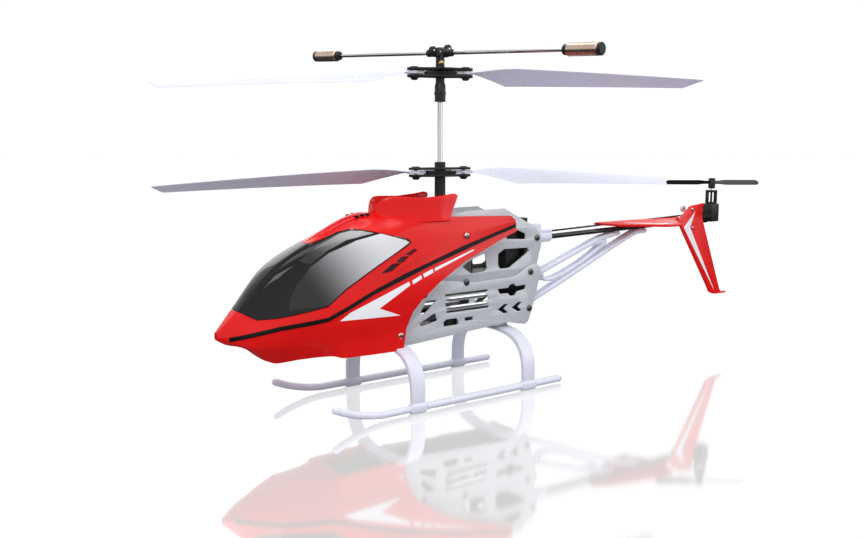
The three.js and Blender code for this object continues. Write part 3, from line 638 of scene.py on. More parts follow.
def half_section(x, inset):
    """Right half of the section at x, from keel to crest; the shoulder is crisp behind the window."""
    keel, skirt, waist, crease, sill, bulge, brow, crest = [Vector(along(line, x)) for line in LINES]
    points = [keel.lerp(skirt, i / 4) for i in range(4)]
    points += [skirt.lerp(waist, i / 4) for i in range(4)]
    for i in range(6):
        t = i / 6
        swell = 0.05 * (crease - waist).length * math.sin(math.pi * t)
        points.append(waist.lerp(crease, t) + Vector((swell, 0)))
    points += [crease.lerp(sill, i / 4) for i in range(4)]
    over = Vector((-brow.x, brow.y))
    below = crease.lerp(sill, 0.5)
    crisp = share_between(x, CRISP_FROM, CRISP_TO)
    flowing = ((below, sill, bulge, brow), (sill, bulge, brow, crest), (bulge, brow, crest, over))
    edged = ((2 * sill - bulge, sill, bulge, brow), (sill, bulge, brow, 2 * brow - bulge),
        (2 * brow - crest, brow, crest, over))
    for soft, sharp in zip(flowing, edged):
        points += [a.lerp(b, crisp) for a, b in zip(rounded_span(*soft), rounded_span(*sharp))]
    points.append(crest)
    middle = (keel.y + crest.y) / 2
    last = len(points) - 1
    return [(0 if i in (0, last) else max(p.x - inset, 0.3), p.y + (inset if p.y < middle else -inset))
        for i, p in enumerate(points)]


def canopy_loft(name, inset, start, end):
    count = round((end - start) / STATION_STEP)
    rings = []
    for i in range(count + 1):
        x = start + (end - start) * i / count
        right = half_section(x, inset)
        ring = right + [(-y, z) for y, z in reversed(right[1:-1])]
        rings.append([(x, y, z) for y, z in ring])
    points, faces = loft(rings)
    return make(name, points, faces, RED)


def surface_of(item):
    body = bmesh.new()
    body.from_mesh(item.data)
    tree = BVHTree.FromBMesh(body)
    body.free()
    return tree


# distance from the middle plane from which prints and painted reflection sheets are laid onto the shell
OUTSIDE = 60


def decal(name, surface, outline, side, material, lift=0.16, sunk=0.25, cell=0.8):
    """A thin piece that follows a surface, a print, a raised lip or a sheet of painted reflection: outline is
    its side view, in x and z.
    """
    body = bmesh.new()
    corners = [body.verts.new((x * MM, 0, z * MM)) for x, z in outline]
    body.faces.new(corners)
    bmesh.ops.triangulate(body, faces=body.faces)
    for axis, square in ((0, Vector((1, 0, 0))), (2, Vector((0, 0, 1)))):
        values = [v.co[axis] / MM for v in body.verts]
        for k in range(math.ceil(min(values) / cell), math.ceil(max(values) / cell)):
            bmesh.ops.bisect_plane(body, geom=body.verts[:] + body.edges[:] + body.faces[:],
                plane_co=square * (k * cell * MM), plane_no=square)
    upper, lower = [], []
    body.verts.index_update()
    for vert in body.verts:
        start = Vector((vert.co.x + MAST_X * MM, side * OUTSIDE * MM, vert.co.z))
        hit, normal, _, _ = surface.ray_cast(start, Vector((0, -side, 0)))
        if hit is None:
            hit, normal, _, _ = surface.find_nearest(start)
        upper.append(hit + normal * lift * MM)
        lower.append(hit - normal * sunk * MM)
    count = len(upper)
    faces = [tuple(v.index for v in f.verts) for f in body.faces]
    under = [tuple(i + count for i in reversed(f)) for f in faces]
    rim = [(e.verts[0].index, e.verts[1].index, e.verts[1].index + count, e.verts[0].index + count)
        for e in body.edges if e.is_boundary]
    body.free()
    unit = [((p.x / MM) - MAST_X, p.y / MM, p.z / MM) for p in upper + lower]
    return make(name, unit, faces + under + rim, material, 50)


def crest_hole():
    """The crest's plan, a little narrower, as a closed outline."""
    half = [(x, y - 0.8) for x, y in CREST_PLAN]
    return half + [(x, -y) for x, y in reversed(half)]


def canopy():
    outer = canopy_loft("canopy_shell", 0, NOSE_X, SHELL_END_X)
    surface = surface_of(outer)
    combined(outer, canopy_loft("hollow", SHELL, NOSE_X + 3, SHELL_END_X + 2))
    glass = outer.copy()
    glass.data = outer.data.copy()
    bpy.context.scene.collection.objects.link(glass)
    combined(outer, box("belly", *BELLY, RED, 0))
    cuts = [(crest_hole(), "floor", 88, 112), (REAR_OPENING, "side", -BEYOND, BEYOND),
        (PLATE_SPACE, "side", -PLATES_REACH, PLATES_REACH), (GLASS, "side", -BEYOND, BEYOND)]
    for side in (1, -1):
        cuts += [(vent, "side", *sorted((side * VENT_FROM, side * BEYOND))) for vent in VENTS]
        cuts.append((REAR_TIP, "side", *sorted((side * TIP_FROM, side * BEYOND))))
    for cut in cuts:
        combined(outer, prism("cut", *cut, RED))
    keep_largest(outer)
    dress(outer, "airframe", "red_plastic", "canopy")
    combined(glass, prism("pane", inwards(GLASS, GAP), "side", -BEYOND, BEYOND, RED), "INTERSECT")
    keep_largest(glass)
    glass.name = "windshield_pane"
    glass.data.materials.clear()
    glass.data.materials.append(SMOKED)
    dress(glass, "airframe", "smoked_plastic", "windshield")
    return surface


def inwards(points, step):
    """Moves every edge of an anticlockwise outline inwards by step."""
    out = []
    for i, point in enumerate(points):
        here = Vector(point)
        entering = (here - Vector(points[i - 1])).normalized()
        leaving = (Vector(points[(i + 1) % len(points)]) - here).normalized()
        normal = Vector((-entering.y - leaving.y, entering.x + leaving.x)).normalized()
        reach = step / max(0.35, normal.dot(Vector((-entering.y, entering.x))))
        out.append(tuple(here + normal * reach))
    return out


def keep_largest(item):
    """Keeps the biggest connected part of a mesh."""
    with editing(item.data) as body:
        left = set(body.verts)
        groups = []
        while left:
            stack = [left.pop()]
            group = set(stack)
            while stack:
                near = {vert for edge in stack.pop().link_edges for vert in edge.verts} & left
                left -= near
                group |= near
                stack.extend(near)
            groups.append(group)
        groups.sort(key=len)
        for group in groups[:-1]:
            bmesh.ops.delete(body, geom=list(group), context="VERTS")
    shade(item.data, 32)


def stripe_outline():
    half = STRIPE_WIDTH / 2
    return [(x, z + half) for x, z in STRIPE] + [(x, z - half) for x, z in reversed(STRIPE)]


def canopy_prints_and_painted_reflections(surface):
    for name, side in SIDES:
        jobs = [("stripe", stripe_outline(), PRINT_BLACK_AND_SLOT_SHADE, "black_plastic"),
            ("arrow", ARROW, PRINT_WHITE, "white_plastic")]
        jobs += [(f"dash_{i}", dash, PRINT_WHITE, "white_plastic") for i, dash in enumerate(DASHES)]
        jobs.append(("vent_lip", VENT_LIP, RED, "red_plastic"))
        for label, outline, material, slot in jobs:
            lift = {"stripe": 0.3, "vent_lip": 0.45}.get(label, 0.16)
            piece = decal(f"print_{label}_{name}", surface, outline, side, material, lift)
            dress(piece, "airframe", slot)
        x, y, z = SCREW_BOSS
        boss = lathe(f"screw_boss_{name}", [[0, -0.8], [2.9, -0.8], [2.7, 0.1], [2.3, 0.3], [0, 0.3]],
            (x, side * y, z), (0, side, 0), RED, 36)
        dress(boss, "airframe", "red_plastic")
        # window sheets: painted reflection on the glass, graded dark to pale grey
        for label, outline, grey in (("window", WINDOW, WINDOW_PAINTED_REFLECTION), ("window_top", TOP_WINDOW, TOP_WINDOW_PAINTED_REFLECTION)):
            dress(decal(f"{label}_{name}", surface, outline, side, grey), "airframe", "smoked_plastic")


def roof_spine():
    """Raised rib along the middle of the roof, from the window to the scoop."""
    rings = []
    for i in range(SPINE_STATIONS + 1):
        x = SPINE[0][0] + (SPINE[-1][0] - SPINE[0][0]) * i / SPINE_STATIONS
        half = height_on(SPINE, x)
        top = along(CREST_LINE, x)[1]
        grow = SPINE_RISE * min(1, (i + 2) / 8)
        ring = []
        for k in range(13):
            share = -1 + k / 6
            ring.append((x, half * share, top + grow * (1 - share ** 4) - 0.12 * half * abs(share) - 0.1))
        ring += [(x, half, top - 2.2), (x, -half, top - 2.2)]
        rings.append(ring)
    points, faces = loft(rings)
    dress(make("roof_spine", points, faces, RED, 40), "airframe", "red_plastic")
    # black blocks at the roof vent slits: painted shade standing in for the dark inside of the slits
    slots = []
    for x in ROOF_SLOT_X:
        z = along(CREST_LINE, x)[1] + 0.1
        for side in (1, -1):
            low, high = sorted((side * 3.6, side * 4.9))
            slots.append(box("slot", (x - 1.0, low, z - 0.9), (x + 1.0, high, z + 0.35), PRINT_BLACK_AND_SLOT_SHADE, 0.15))
    dress(joined("roof_slot_shade_blocks", slots), "airframe", "black_plastic")


# ---- crest ----
# length and half width of the scoop's plan, then the height of its rim along it
CREST_PLAN = ((-42, 3.4), (-37, 7.4), (-26, 11.2), (-12, 13.5), (-2.5, 13.8), (-0.5, 13.85), (1, 13.9),
    (2, 13.9))
CREST_TOP = ((-42, 100.8), (-40.5, 102.6), (-37, 103.8), (-33, 104), (-20, 103.4), (-8, 104.2), (2, 105.6))
CREST_WALL = 1.5
CREST_FOOT_Z = 91.6
CREST_REAR_X = 1.5
CREST_LEAN = 6.5
CREST_CORNER = 2.4
CREST_CORNER_FROM = -2.5
CREST_LEAN_FROM = -12
# distance out from the plan line, and share of the wall's height
CREST_PROFILE = ((2.2, 0), (1.5, 0.1), (0.75, 0.28), (0.25, 0.55), (0.0, 0.82), (-0.1, 0.95), (-0.5, 1.0),
    (-1.1, 1.0), (-CREST_WALL, 0.96), (-CREST_WALL - 0.1, 0.8), (-CREST_WALL, 0.4), (-CREST_WALL, 0))


def height_on(line, x):
    """Second value of a line of straight runs at x."""
    for (x0, z0), (x1, z1) in zip(line, line[1:]):
        if x <= x1:
            return z0 + (z1 - z0) * max(0, x - x0) / (x1 - x0)
    return line[-1][1]


def crest():
    """Open scoop round the mast: a wall bent round three sides, flared at its foot, cut back at the rear."""
    half = [(x, y) for x, y in smooth_path(CREST_PLAN, 6) if x <= CREST_REAR_X]
    plan = [(x, -y) for x, y in reversed(half)] + half
    rings = []
    for i, (x, y) in enumerate(plan):
        before = Vector(plan[max(i - 1, 0)])
        after = Vector(plan[min(i + 1, len(plan) - 1)])
        run = (after - before).normalized()
        out = Vector((-run.y, run.x))
        corner = max(0, (x - CREST_CORNER_FROM) / (CREST_REAR_X - CREST_CORNER_FROM))
        top = height_on(CREST_TOP, x) - CREST_CORNER * (1 - math.sqrt(max(0, 1 - corner ** 2)))
        rise = top - CREST_FOOT_Z
        lean = CREST_LEAN * max(0, (x - CREST_LEAN_FROM) / (CREST_REAR_X - CREST_LEAN_FROM))
        rings.append([(x + out.x * d - lean * (1 - h), y + out.y * d, CREST_FOOT_Z + rise * h)
            for d, h in CREST_PROFILE])
    points, faces = loft(rings)
    dress(make("crest_scoop", points, faces, RED, 50), "airframe", "red_plastic", "crest")


# ---- side plates ----
UPPER_PLATE = ((-30, 62), (-30, 79), (-8, 87), (-3, 95), (4.7, 94.4), (8.6, 95.5), (34.6, 95.9),
    (57.8, 84.2), (61.2, 79.5), (61.8, 76.2), (57.7, 61), (50, 62), (43, 58.2), (12, 56.6), (-14, 60))
UPPER_HOLES = (
    ((30.1, 71.5), (34.4, 73.9), (51.3, 73.6), (52.9, 71.8), (38.1, 63.4), (31.8, 63.3), (30.2, 65.3)),
    ((13.5, 70.3), (21.3, 72.6), (22.5, 64.2), (20.4, 62.8), (11.5, 62.5), (5.9, 66.4), (8, 68)),
    ((35.9, 81), (42.7, 84.2), (49.7, 81.4), (49.7, 78.4), (35.9, 79.3)),
)
LOWER_PLATE = ((-39, 31), (-39, 60), (-12.2, 61.3), (12.1, 57.8), (38.7, 58.5), (43.2, 59.4), (49.8, 63.1),
    (56, 64.6), (59.3, 63.2), (60.7, 59.8), (54.3, 38.8), (51.7, 32.5), (49, 31.1), (36.6, 33.6),
    (-28.7, 29.4))
SWITCH_HOLE = ((-7.2, 36.4), (-7.2, 38.6), (-5.6, 39.9), (1.2, 39.9), (2.4, 38.4), (2.4, 36.4))
LOUVRES = ((-6.5, 22.8, 50.4, 1.35), (-6.3, 23.3, 45.9, 1.2))
PLATE_SCREWS = ((58.2, 78.7), (52.8, 60.2), (52.1, 39.8), (7.7, 58.2), (-19.3, 54.4))
CANOPY_SCREWS = ((-37, 36.1), (4.4, 83.3))
CANOPY_SCREW_Y = (17.5, 17.1)


def slot_outline(low, high, z, half):
    return ((low, z - half), (high - half, z - half), (high, z), (high - half, z + half), (low, z + half))


def chevron(x, z):
    return ((x, z), (x + 4.6, z + 2.6), (x + 7.6, z + 2.4), (x + 4.4, z), (x + 7.6, z - 2.4),
        (x + 4.6, z - 2.6))


LOWER_HOLES = (
    ((-11.5, 51), (-18.4, 50.7), (-21.9, 45.4), (-20.2, 43.8)),
    ((-12.7, 44.2), (-11.2, 40), (-21.7, 38), (-22.6, 39.8)),
    ((29, 52.7), (30.7, 49.8), (36.6, 49.6), (38, 48), (41.4, 48), (43, 50), (49, 50.8), (49.5, 53.3),
     (42.4, 53), (40.6, 54.6), (38, 54.2), (36.4, 52.6)),
    slot_outline(-6.3, 22.5, 52.6, 0.6), slot_outline(-6, 10.1, 48, 1.3),
    slot_outline(13.7, 23.2, 48.2, 1.2), slot_outline(-5.3, 23.3, 43.8, 0.6),
    ((6.7, 37.7), (12.3, 37.7), (12.3, 39.6), (6.7, 39.6)),
    chevron(29.3, 41.3), chevron(39.3, 41.4), SWITCH_HOLE,
)
# level, outline, holes, inner and outer face, corner radius
PLATES = (("upper", UPPER_PLATE, UPPER_HOLES, PLATE_INNER, 0.8),
    ("lower", LOWER_PLATE, LOWER_HOLES, PLATE_OUTER, 0.5))


def sided(item, side):
    return item if side > 0 else mirror_y(item)


def side_plates():
    for name, side in SIDES:
        for level, outline, holes, faces, radius in PLATES:
            plate = sheet_metal(f"{level}_plate_{name}", outline, holes, "side", *faces, PLATE, radius=radius)
            dress(sided(plate, side), "airframe", "plate_metal", f"plate_{level}_{name}")
        ribs = []
        for i, (low, high, z, half) in enumerate(LOUVRES):
            path = [Vector((low + (high - low) * k / 24, PLATE_OUTER[1] - 0.1, z)) for k in range(25)]
            ribs.append(swept(f"rib_{i}", path, ellipse(0.75, half, 16), LOUVRE,
                taper=lambda t: max(0.05, min(1, 9 * t, 9 * (1 - t)) ** 0.5)))
        dress(sided(joined(f"louvre_ribs_{name}", ribs), side), "airframe", "plate_metal")
        heads, canopy_heads = [], []
        for i, (x, z) in enumerate(PLATE_SCREWS):
            face = PLATE_INNER[1] if z > 70 else PLATE_OUTER[1]
            heads.append(screw(f"head_{i}", (x, face, z), (0, 1, 0), 1.75, DARK_STEEL))
        for i, (x, z) in enumerate(CANOPY_SCREWS):
            canopy_heads.append(screw(f"canopy_head_{i}", (x, CANOPY_SCREW_Y[i], z), (0, 1, 0), 1.6, STEEL))
        dress(sided(joined(f"side_screws_{name}", heads), side), "airframe", "steel")
        dress(sided(joined(f"canopy_screws_{name}", canopy_heads), side), "airframe", "steel")


# ---- landing gear ----
LEG_STEPS = 40
LEG_THICK = 2.6
SADDLE_HALF = 9
# half length, half width and top of the clip that holds a skid tube
CLIP = (5.2, 2.35, 5.0)


def squared_arch(half_width, top):
    """Arch between the skids, squarer than an ellipse."""
    base = SKID_Z + 1.4
    out = []
    for i in range(LEG_STEPS + 1):
        angle = math.pi * i / LEG_STEPS
        across = math.copysign(abs(math.cos(angle)) ** LEG_SQUARE, math.cos(angle))
        out.append((half_width * across, base + (top - base) * max(0, math.sin(angle)) ** LEG_SQUARE))
    return out


def leg(name, x, node):
    inside = squared_arch(SKID_Y - LEG_THICK / 2, LEG_TOP - LEG_THICK)
    outline = squared_arch(SKID_Y + LEG_THICK / 2, LEG_TOP) + inside[::-1]
    low, high = x - LEG_WIDTH / 2, x + LEG_WIDTH / 2
    parts = [softened(prism("strip", outline, "cross", low, high, WHITE), 0.7, 3),
        box("saddle", (low, -SADDLE_HALF, LEG_TOP - 1.6), (high, SADDLE_HALF, LEG_TOP + 0.9), WHITE, 0.4)]
    long, wide, top = CLIP
    for y in (SKID_Y, -SKID_Y):
        parts.append(box("clip", (x - long, y - wide, 0), (x + long, y + wide, top), WHITE, 1.6, 4))
    dress(joined(name, parts), "airframe", "white_plastic", node)


SKID_PATH = ((58.5, SKID_Z), (20, SKID_Z), (-20, SKID_Z), (-50, SKID_Z), (-57, 2.7), (-66, 4.0),
    (-75, 6.4), (-82, 9.2))


def skids():
    for name, side in SIDES:
        path = [(x, side * SKID_Y, z) for x, z in SKID_PATH]
        dress(tube(f"skid_tube_{name}", path, SKID_R, WHITE), "airframe", "white_plastic", f"skid_{name}")


# ---- tail ----
STABILIZER = ((119, 3), (128, 10), (160, 20.5), (172, 21), (184, 5), (193, 2.6))
STABILIZER_Z = (80.4, 81.8)
BOOM_ENDS = ((56, 0, 76.6), (205, 0, 80.2))
BOOM_WIRE_ENDS = ((78, 0, 80.3), (196, 0, 84))
FIN = ((188, 80.9), (200, 90.4), (215.3, 92), (212.9, 90), (212.4, 83), (234.5, 32.6), (236, 31),
    (236, 29.6), (228.4, 29.4), (223.5, 31), (221.2, 34.9))
FIN_Y = (low_mm("fin").y, high_mm("fin").y)
FIN_CHEVRON = ((204.9, 86.6), (193.9, 76.5), (228.6, 31.9), (227.4, 34), (200.3, 76.3), (204.7, 85.8))
FIN_SCREWS = ((201.6, 88.1), (202.9, 75.8))
BRACE_Y = 1.9
BRACE_R = (1.0, 1.45)
BRACE_LOWER = ((53, 36.9), (63, 41), (94, 53.2), (129, 67.5), (151, 75.8), (158, 76.2))
BRACE_UPPER = ((53, 50.9), (70, 57), (98, 66.6), (118, 73.2), (132, 75.8))
BRACE_LOOP = ((74, 52.7), (71.8, 55.2), (75, 58.6), (92, 64.8), (108, 69.9), (120, 71.6), (124.4, 71.6),
    (119.5, 68.6), (106, 61.6), (90, 55.3), (80, 52.6), (74, 52.7))
LOOP_R = (0.8, 1.15)


def rail(name, points, radii):
    """Smooth strut of a brace through side-view points."""
    path = smooth_path([(x, BRACE_Y, z) for x, z in points])
    return swept(name, path, ellipse(*radii, 14), WHITE, angle=35)


def tail_braces():
    for name, side in SIDES:
        parts = [rail("lower", BRACE_LOWER, BRACE_R), rail("upper", BRACE_UPPER, BRACE_R),
            rail("loop", BRACE_LOOP, LOOP_R),
            rounded_rod("pad", (150, BRACE_Y, 76.0), (160, BRACE_Y, 76.4), 1.5, WHITE, 0.3),
            rounded_rod("tab", (128, BRACE_Y, 75.4), (136, BRACE_Y, 76.0), 1.3, WHITE, 0.3)]
        brace = sided(joined(f"brace_{name}", parts), side)
        dress(brace, "airframe", "white_plastic", f"tail_brace_{name}")


def tail_boom():
    clamp = [box("clamp_block", (52.6, -7.8, 70.5), (66, 7.8, 86), WHITE, 1.6, 4),
        rounded_rod("clamp_sleeve", (64, 0, 76.8), (79, 0, 77.2), 2.9, WHITE, 0.3),
        rounded_rod("clamp_eye", (72, 0, 80.2), (80, 0, 80.4), 1.4, WHITE, 0.3),
        box("clamp_web", (66, -1.2, 77), (78.5, 1.2, 81.2), WHITE, 0.4)]
    dress(joined("boom_socket", clamp), "airframe", "white_plastic", "boom_clamp")
    boom = rounded_rod("boom_tube", *BOOM_ENDS, BOOM_R, CARBON, 0.2)
    dress(boom, "airframe", "boom_black", "tail_boom")
    wire = rounded_rod("boom_wire", *BOOM_WIRE_ENDS, 0.55, CARBON, 0.2, 14)
    dress(wire, "airframe", "boom_black", "tail_rod")


# height added on the centre line, and lost again towards the tips for each mm of span
STABILIZER_RISE = 1.6
STABILIZER_DROOP = 0.11


def drooped(item):
    for vertex in item.data.vertices:
        vertex.co.z += STABILIZER_RISE * MM - STABILIZER_DROOP * abs(vertex.co.y)
    return item


def stabilizer():
    halves = [sheet_metal("half", [(x, y * side) for x, y in STABILIZER] + [(193, 0), (119, 0)], (),
        "floor", *STABILIZER_Z, RED, 0.35, 0.6) for side in (1, -1)]
    wing = drooped(joined("stabilizer_wing", halves))
    dress(wing, "airframe", "red_plastic", "stabilizer")
    for name, side in SIDES:
        stripe = ((134, side * 6.4), (156, side * 17.2), (168, side * 18.4), (163, side * 15.4),
            (155, side * 14.4), (140, side * 7.4))
        mark = sheet_metal(f"stabilizer_mark_{name}", stripe, (), "floor", STABILIZER_Z[1] - 0.02,
            STABILIZER_Z[1] + 0.1, PRINT_WHITE, 0.02, 1)
        dress(drooped(mark), "airframe", "white_plastic")


def fin():
    blade = sheet_metal("fin_blade", FIN, (), "side", *FIN_Y, RED, 0.3, 1.6)
    foot = box("foot", (231, FIN_Y[0] - 0.4, 29.2), (241.5, FIN_Y[1] + 1.2, 30.4), RED, 0.5)
    dress(joined("fin_panel", [blade, foot]), "airframe", "red_plastic", "fin")
    for (name, side), y in zip(SIDES, reversed(FIN_Y)):
        low, high = sorted((y - side * 0.05, y + side * 0.07))
        mark = sheet_metal(f"fin_mark_{name}", FIN_CHEVRON, (), "side", low, high, PRINT_WHITE, 0.02, 0.4)
        dress(mark, "airframe", "white_plastic")
    heads = [screw(f"fin_screw_{i}", (x, FIN_Y[0], z), (0, -1, 0), 1.0, STEEL, 0.6)
        for i, (x, z) in enumerate(FIN_SCREWS)]
    dress(joined("fin_screws", heads), "airframe", "steel")


NECK_Z = 82
NECK_RIBS = 6
NECK_RIB_X = 212.6
NECK_RIB_STEP = 2.0
PROP_Z = 105
PROP_PITCH = math.radians(34)
PROP_STATIONS = 28


def prop_blade(azimuth):
    """One blade of the tail propeller, of one pitch all along, with a rounded tip."""
    rings = []
    for k in range(PROP_STATIONS + 1):
        span = 1 + (TAIL_ROTOR_R - 1) * k / PROP_STATIONS
        share = max(0.0, (span - 4) / (TAIL_ROTOR_R - 4))
        tip = math.sqrt(max(0.02, 1 - max(0, (share - 0.93) / 0.07) ** 2))
        chord = (1.8 + 1.0 * share_between(share, 0, 0.2)) * tip
        section = ellipse(chord, 0.55 - 0.15 * share, 16)
        rings.append([(TAIL_ROTOR_X + span, *pitched(u, v, PROP_PITCH, PROP_Z)) for u, v in section])
    points, faces = loft(rings)
    return turned_about_z(make("prop", points, faces, BLACK), azimuth, (TAIL_ROTOR_X, 0))


def tail_unit():
    x = TAIL_ROTOR_X
    parts = [box("clamp", (199, -2.6, 76.4), (211, 2.6, 84.4), BLACK, 1.0, 3),
        rounded_rod("neck", (204, 0, NECK_Z), (x - 1, 0, NECK_Z), 3.0, BLACK, 0.3),
        box("motor_seat", (x - 4.2, -3.9, 78.7), (x + 4.2, 3.9, 90.8), BLACK, 0.9, 3)]
    rib = [[2.6, -0.4], [3.9, -0.3], [3.9, 0.3], [2.6, 0.4]]
    for k in range(NECK_RIBS):
        parts.append(lathe("rib", rib, (NECK_RIB_X + NECK_RIB_STEP * k, 0, NECK_Z), (1, 0, 0), BLACK, 28))
    dress(joined("tail_bracket", parts), "airframe", "black_plastic", "tail_mount")
    washer = lathe("tail_washer", collar(0.7, 2.2, -0.8, 0.8, 0.2), (198.9, 0, 88.4), (0, 1, 0), NYLON, 32)
    dress(washer, "airframe", "nylon")
    cap = [[1.05, 98.4], [3.6, 98.4], [3.9, 98.7], [3.9, 99.4], [3.6, 99.8], [1.05, 99.8], [1.05, 98.4]]
    can = [[0, 90], [3.4, 90], [3.6, 90.5], [3.6, 91.4], [3.0, 91.8], [0, 91.8]]
    cage = [lathe("cap", cap, (x, 0, 0), (0, 0, 1), BLACK, 28),
        lathe("can", can, (x, 0, 0), (0, 0, 1), BLACK, 28)]
    for px, py in ((x - 2.3, 1.6), (x + 2.3, -1.6)):
        cage.append(rounded_rod("bar", (px, py, 91.0), (px, py, 99.0), 1.15, BLACK, 0.2, 18))
    cage.append(rounded_rod("spindle", (x, 0, 91.0), (x, 0, 98.6), 0.7, BLACK, 0.2, 14))
    dress(joined("tail_motor_cage", cage), "airframe", "black_plastic", "tail_motor")
    boss = [[0, 100.9], [1.6, 100.9], [2.3, 101.4], [2.3, 107], [1.9, 107.8], [0, 108]]
    hub = [lathe("hub", boss, (x, 0, 0), (0, 0, 1), BLACK, 28),
        rounded_rod("pin", (x, 0, 98), (x, 0, 101.4), 0.6, STEEL, 0.2, 14)]
    hub += [prop_blade(PROP_AZ + turn) for turn in (0, 180)]
    dress(joined("tail_propeller_moulding", hub), "tail_propeller", "black_plastic", "tail_rotor")


# ---- rotors ----
HUB_HALF = ((17.5, 0), (16.6, 2.4), (13.5, 3.3), (9, 3), (4.6, 4.6), (0, 5))
HUB_BORE = 3.15
LINK_BAR_X = 7
LINK_BAR_Y = -6.8
# span, leading edge, trailing edge, thickness, share of the pitch
BLADE_STATIONS = (
    (16.5, 2, -2, 1.7, 0), (18.2, 2.5, -3, 1.7, 0.2), (21, 3.4, -4.6, 1.6, 0.5),
    (26, 4.6, -7, 1.5, 0.8), (32, 5.8, -10.2, 1.4, 0.94), (38.5, 6.6, -14.4, 1.3, 1),
    (75, 6.4, -12, 1.2, 0.95), (110, 6, -9.6, 1.1, 0.88), (139, 5.6, -7.6, 1, 0.8),
    (ROTOR_R, 5.2, 3.6, 0.8, 0.8))
BLADE_DROOP = {"lower": (6.5, 6.5), "upper": (3.5, 8)}
BLADE_SPANS = (16.5, 17.5, 19, 21, 23, 25, 27, 29, 31, 33, 35, 37, 38.2, 39, 41, 45, 50, 57, 65, 75, 85,
    95, 105, 115, 125, 132, 137, 138.8, 139.6, 141, 143, 144.5, 145)


def airfoil(lead, trail, thick):
    """Cambered blade section with a round leading edge, in [chordwise, up]."""
    chord = lead - trail
    stops = (0, 0.02, 0.06, 0.14, 0.28, 0.45, 0.62, 0.8, 0.93, 1)
    upper, lower = [], []
    for s in stops:
        depth = thick * (2.2 * math.sqrt(s) * (1 - s) + 0.12 * (1 - s)) * 0.62 + 0.12
        camber = 0.028 * chord * math.sin(math.pi * s)
        upper.append((lead - chord * s, camber + depth / 2))
        lower.append((lead - chord * s, camber - depth / 2))
    return upper + list(reversed(lower))


def pitched(forward, up, pitch, z):
    """A section's point turned by its pitch, then raised to z."""
    across = forward * math.cos(pitch) - up * math.sin(pitch)
    return across, z + forward * math.sin(pitch) + up * math.cos(pitch)


def station_at(span):
    xs = [row[0] for row in BLADE_STATIONS]
    i = max(k for k in range(len(xs) - 1) if xs[k] <= span or k == 0)
    t = min(1, max(0, (span - xs[i]) / (xs[i + 1] - xs[i])))
    return [a + (b - a) * t for a, b in zip(BLADE_STATIONS[i][1:], BLADE_STATIONS[i + 1][1:])]


def blade(rotor, end_index, azimuth, hub_z, hand):
    end = "ab"[end_index]
    root_z = hub_z + HUB_PLATE + GAP
    root_top = hub_z + HUB_RISE - GAP
    lift = (root_z + root_top) / 2
    droop = BLADE_DROOP[rotor][end_index]
    rings = []
    for span in BLADE_SPANS:
        lead, trail, thick, share = station_at(span)
        pitch = math.radians(BLADE_PITCH * share)
        drop = droop * max(0, (span - 17) / (ROTOR_R - 17)) ** 1.3
        section = [pitched(y, z, pitch, lift - drop) for y, z in airfoil(lead, trail, thick)]
        rings.append([(span, hand * y, z) for y, z in section])
    points, faces = loft(rings)
    panel = make("panel", points, faces, BLADE, 40)
    ear_profile = collar(1.15, 2.6, root_z, root_top, 0.3, 0.25)
    ear = lathe("ear", ear_profile, (ROOT_PIN_R, 0, 0), (0, 0, 1), BLADE, 32)
    low, high = root_z + 0.05, root_top - 0.05
    neck = box("neck", (ROOT_PIN_R + 1.3, -1.9, low), (18, 1.9, high), BLADE, 0.3)
    heel = box("heel", (8.4, -1.7, low), (ROOT_PIN_R - 1.3, 1.7, high), BLADE, 0.3)
    item = joined(f"blade_panel_{rotor}_{end}", [panel, ear, neck, heel])
    turned_about_z(item, azimuth + 180 * end_index)
    dress(item, f"blade_{rotor}_{end}", "white_plastic", f"blade_{rotor}_{end}")


def hub_outline():
    left = [(-x, y) for x, y in HUB_HALF[:-1]]
    top = left + list(reversed(HUB_HALF))
    return top + [(x, -y) for x, y in reversed(top[1:-1])]


def circle(u, v, r):
    return [(u + x, v + y) for x, y in ellipse(r, r, 28)]


def hub_plate(z):
    holes = [circle(ROOT_PIN_R, 0, 1.1), circle(-ROOT_PIN_R, 0, 1.1), circle(0, 0, HUB_BORE)]
    return sheet_metal("plate", hub_outline(), holes, "floor", z, z + HUB_PLATE, BLACK, 0.2, 1.2)


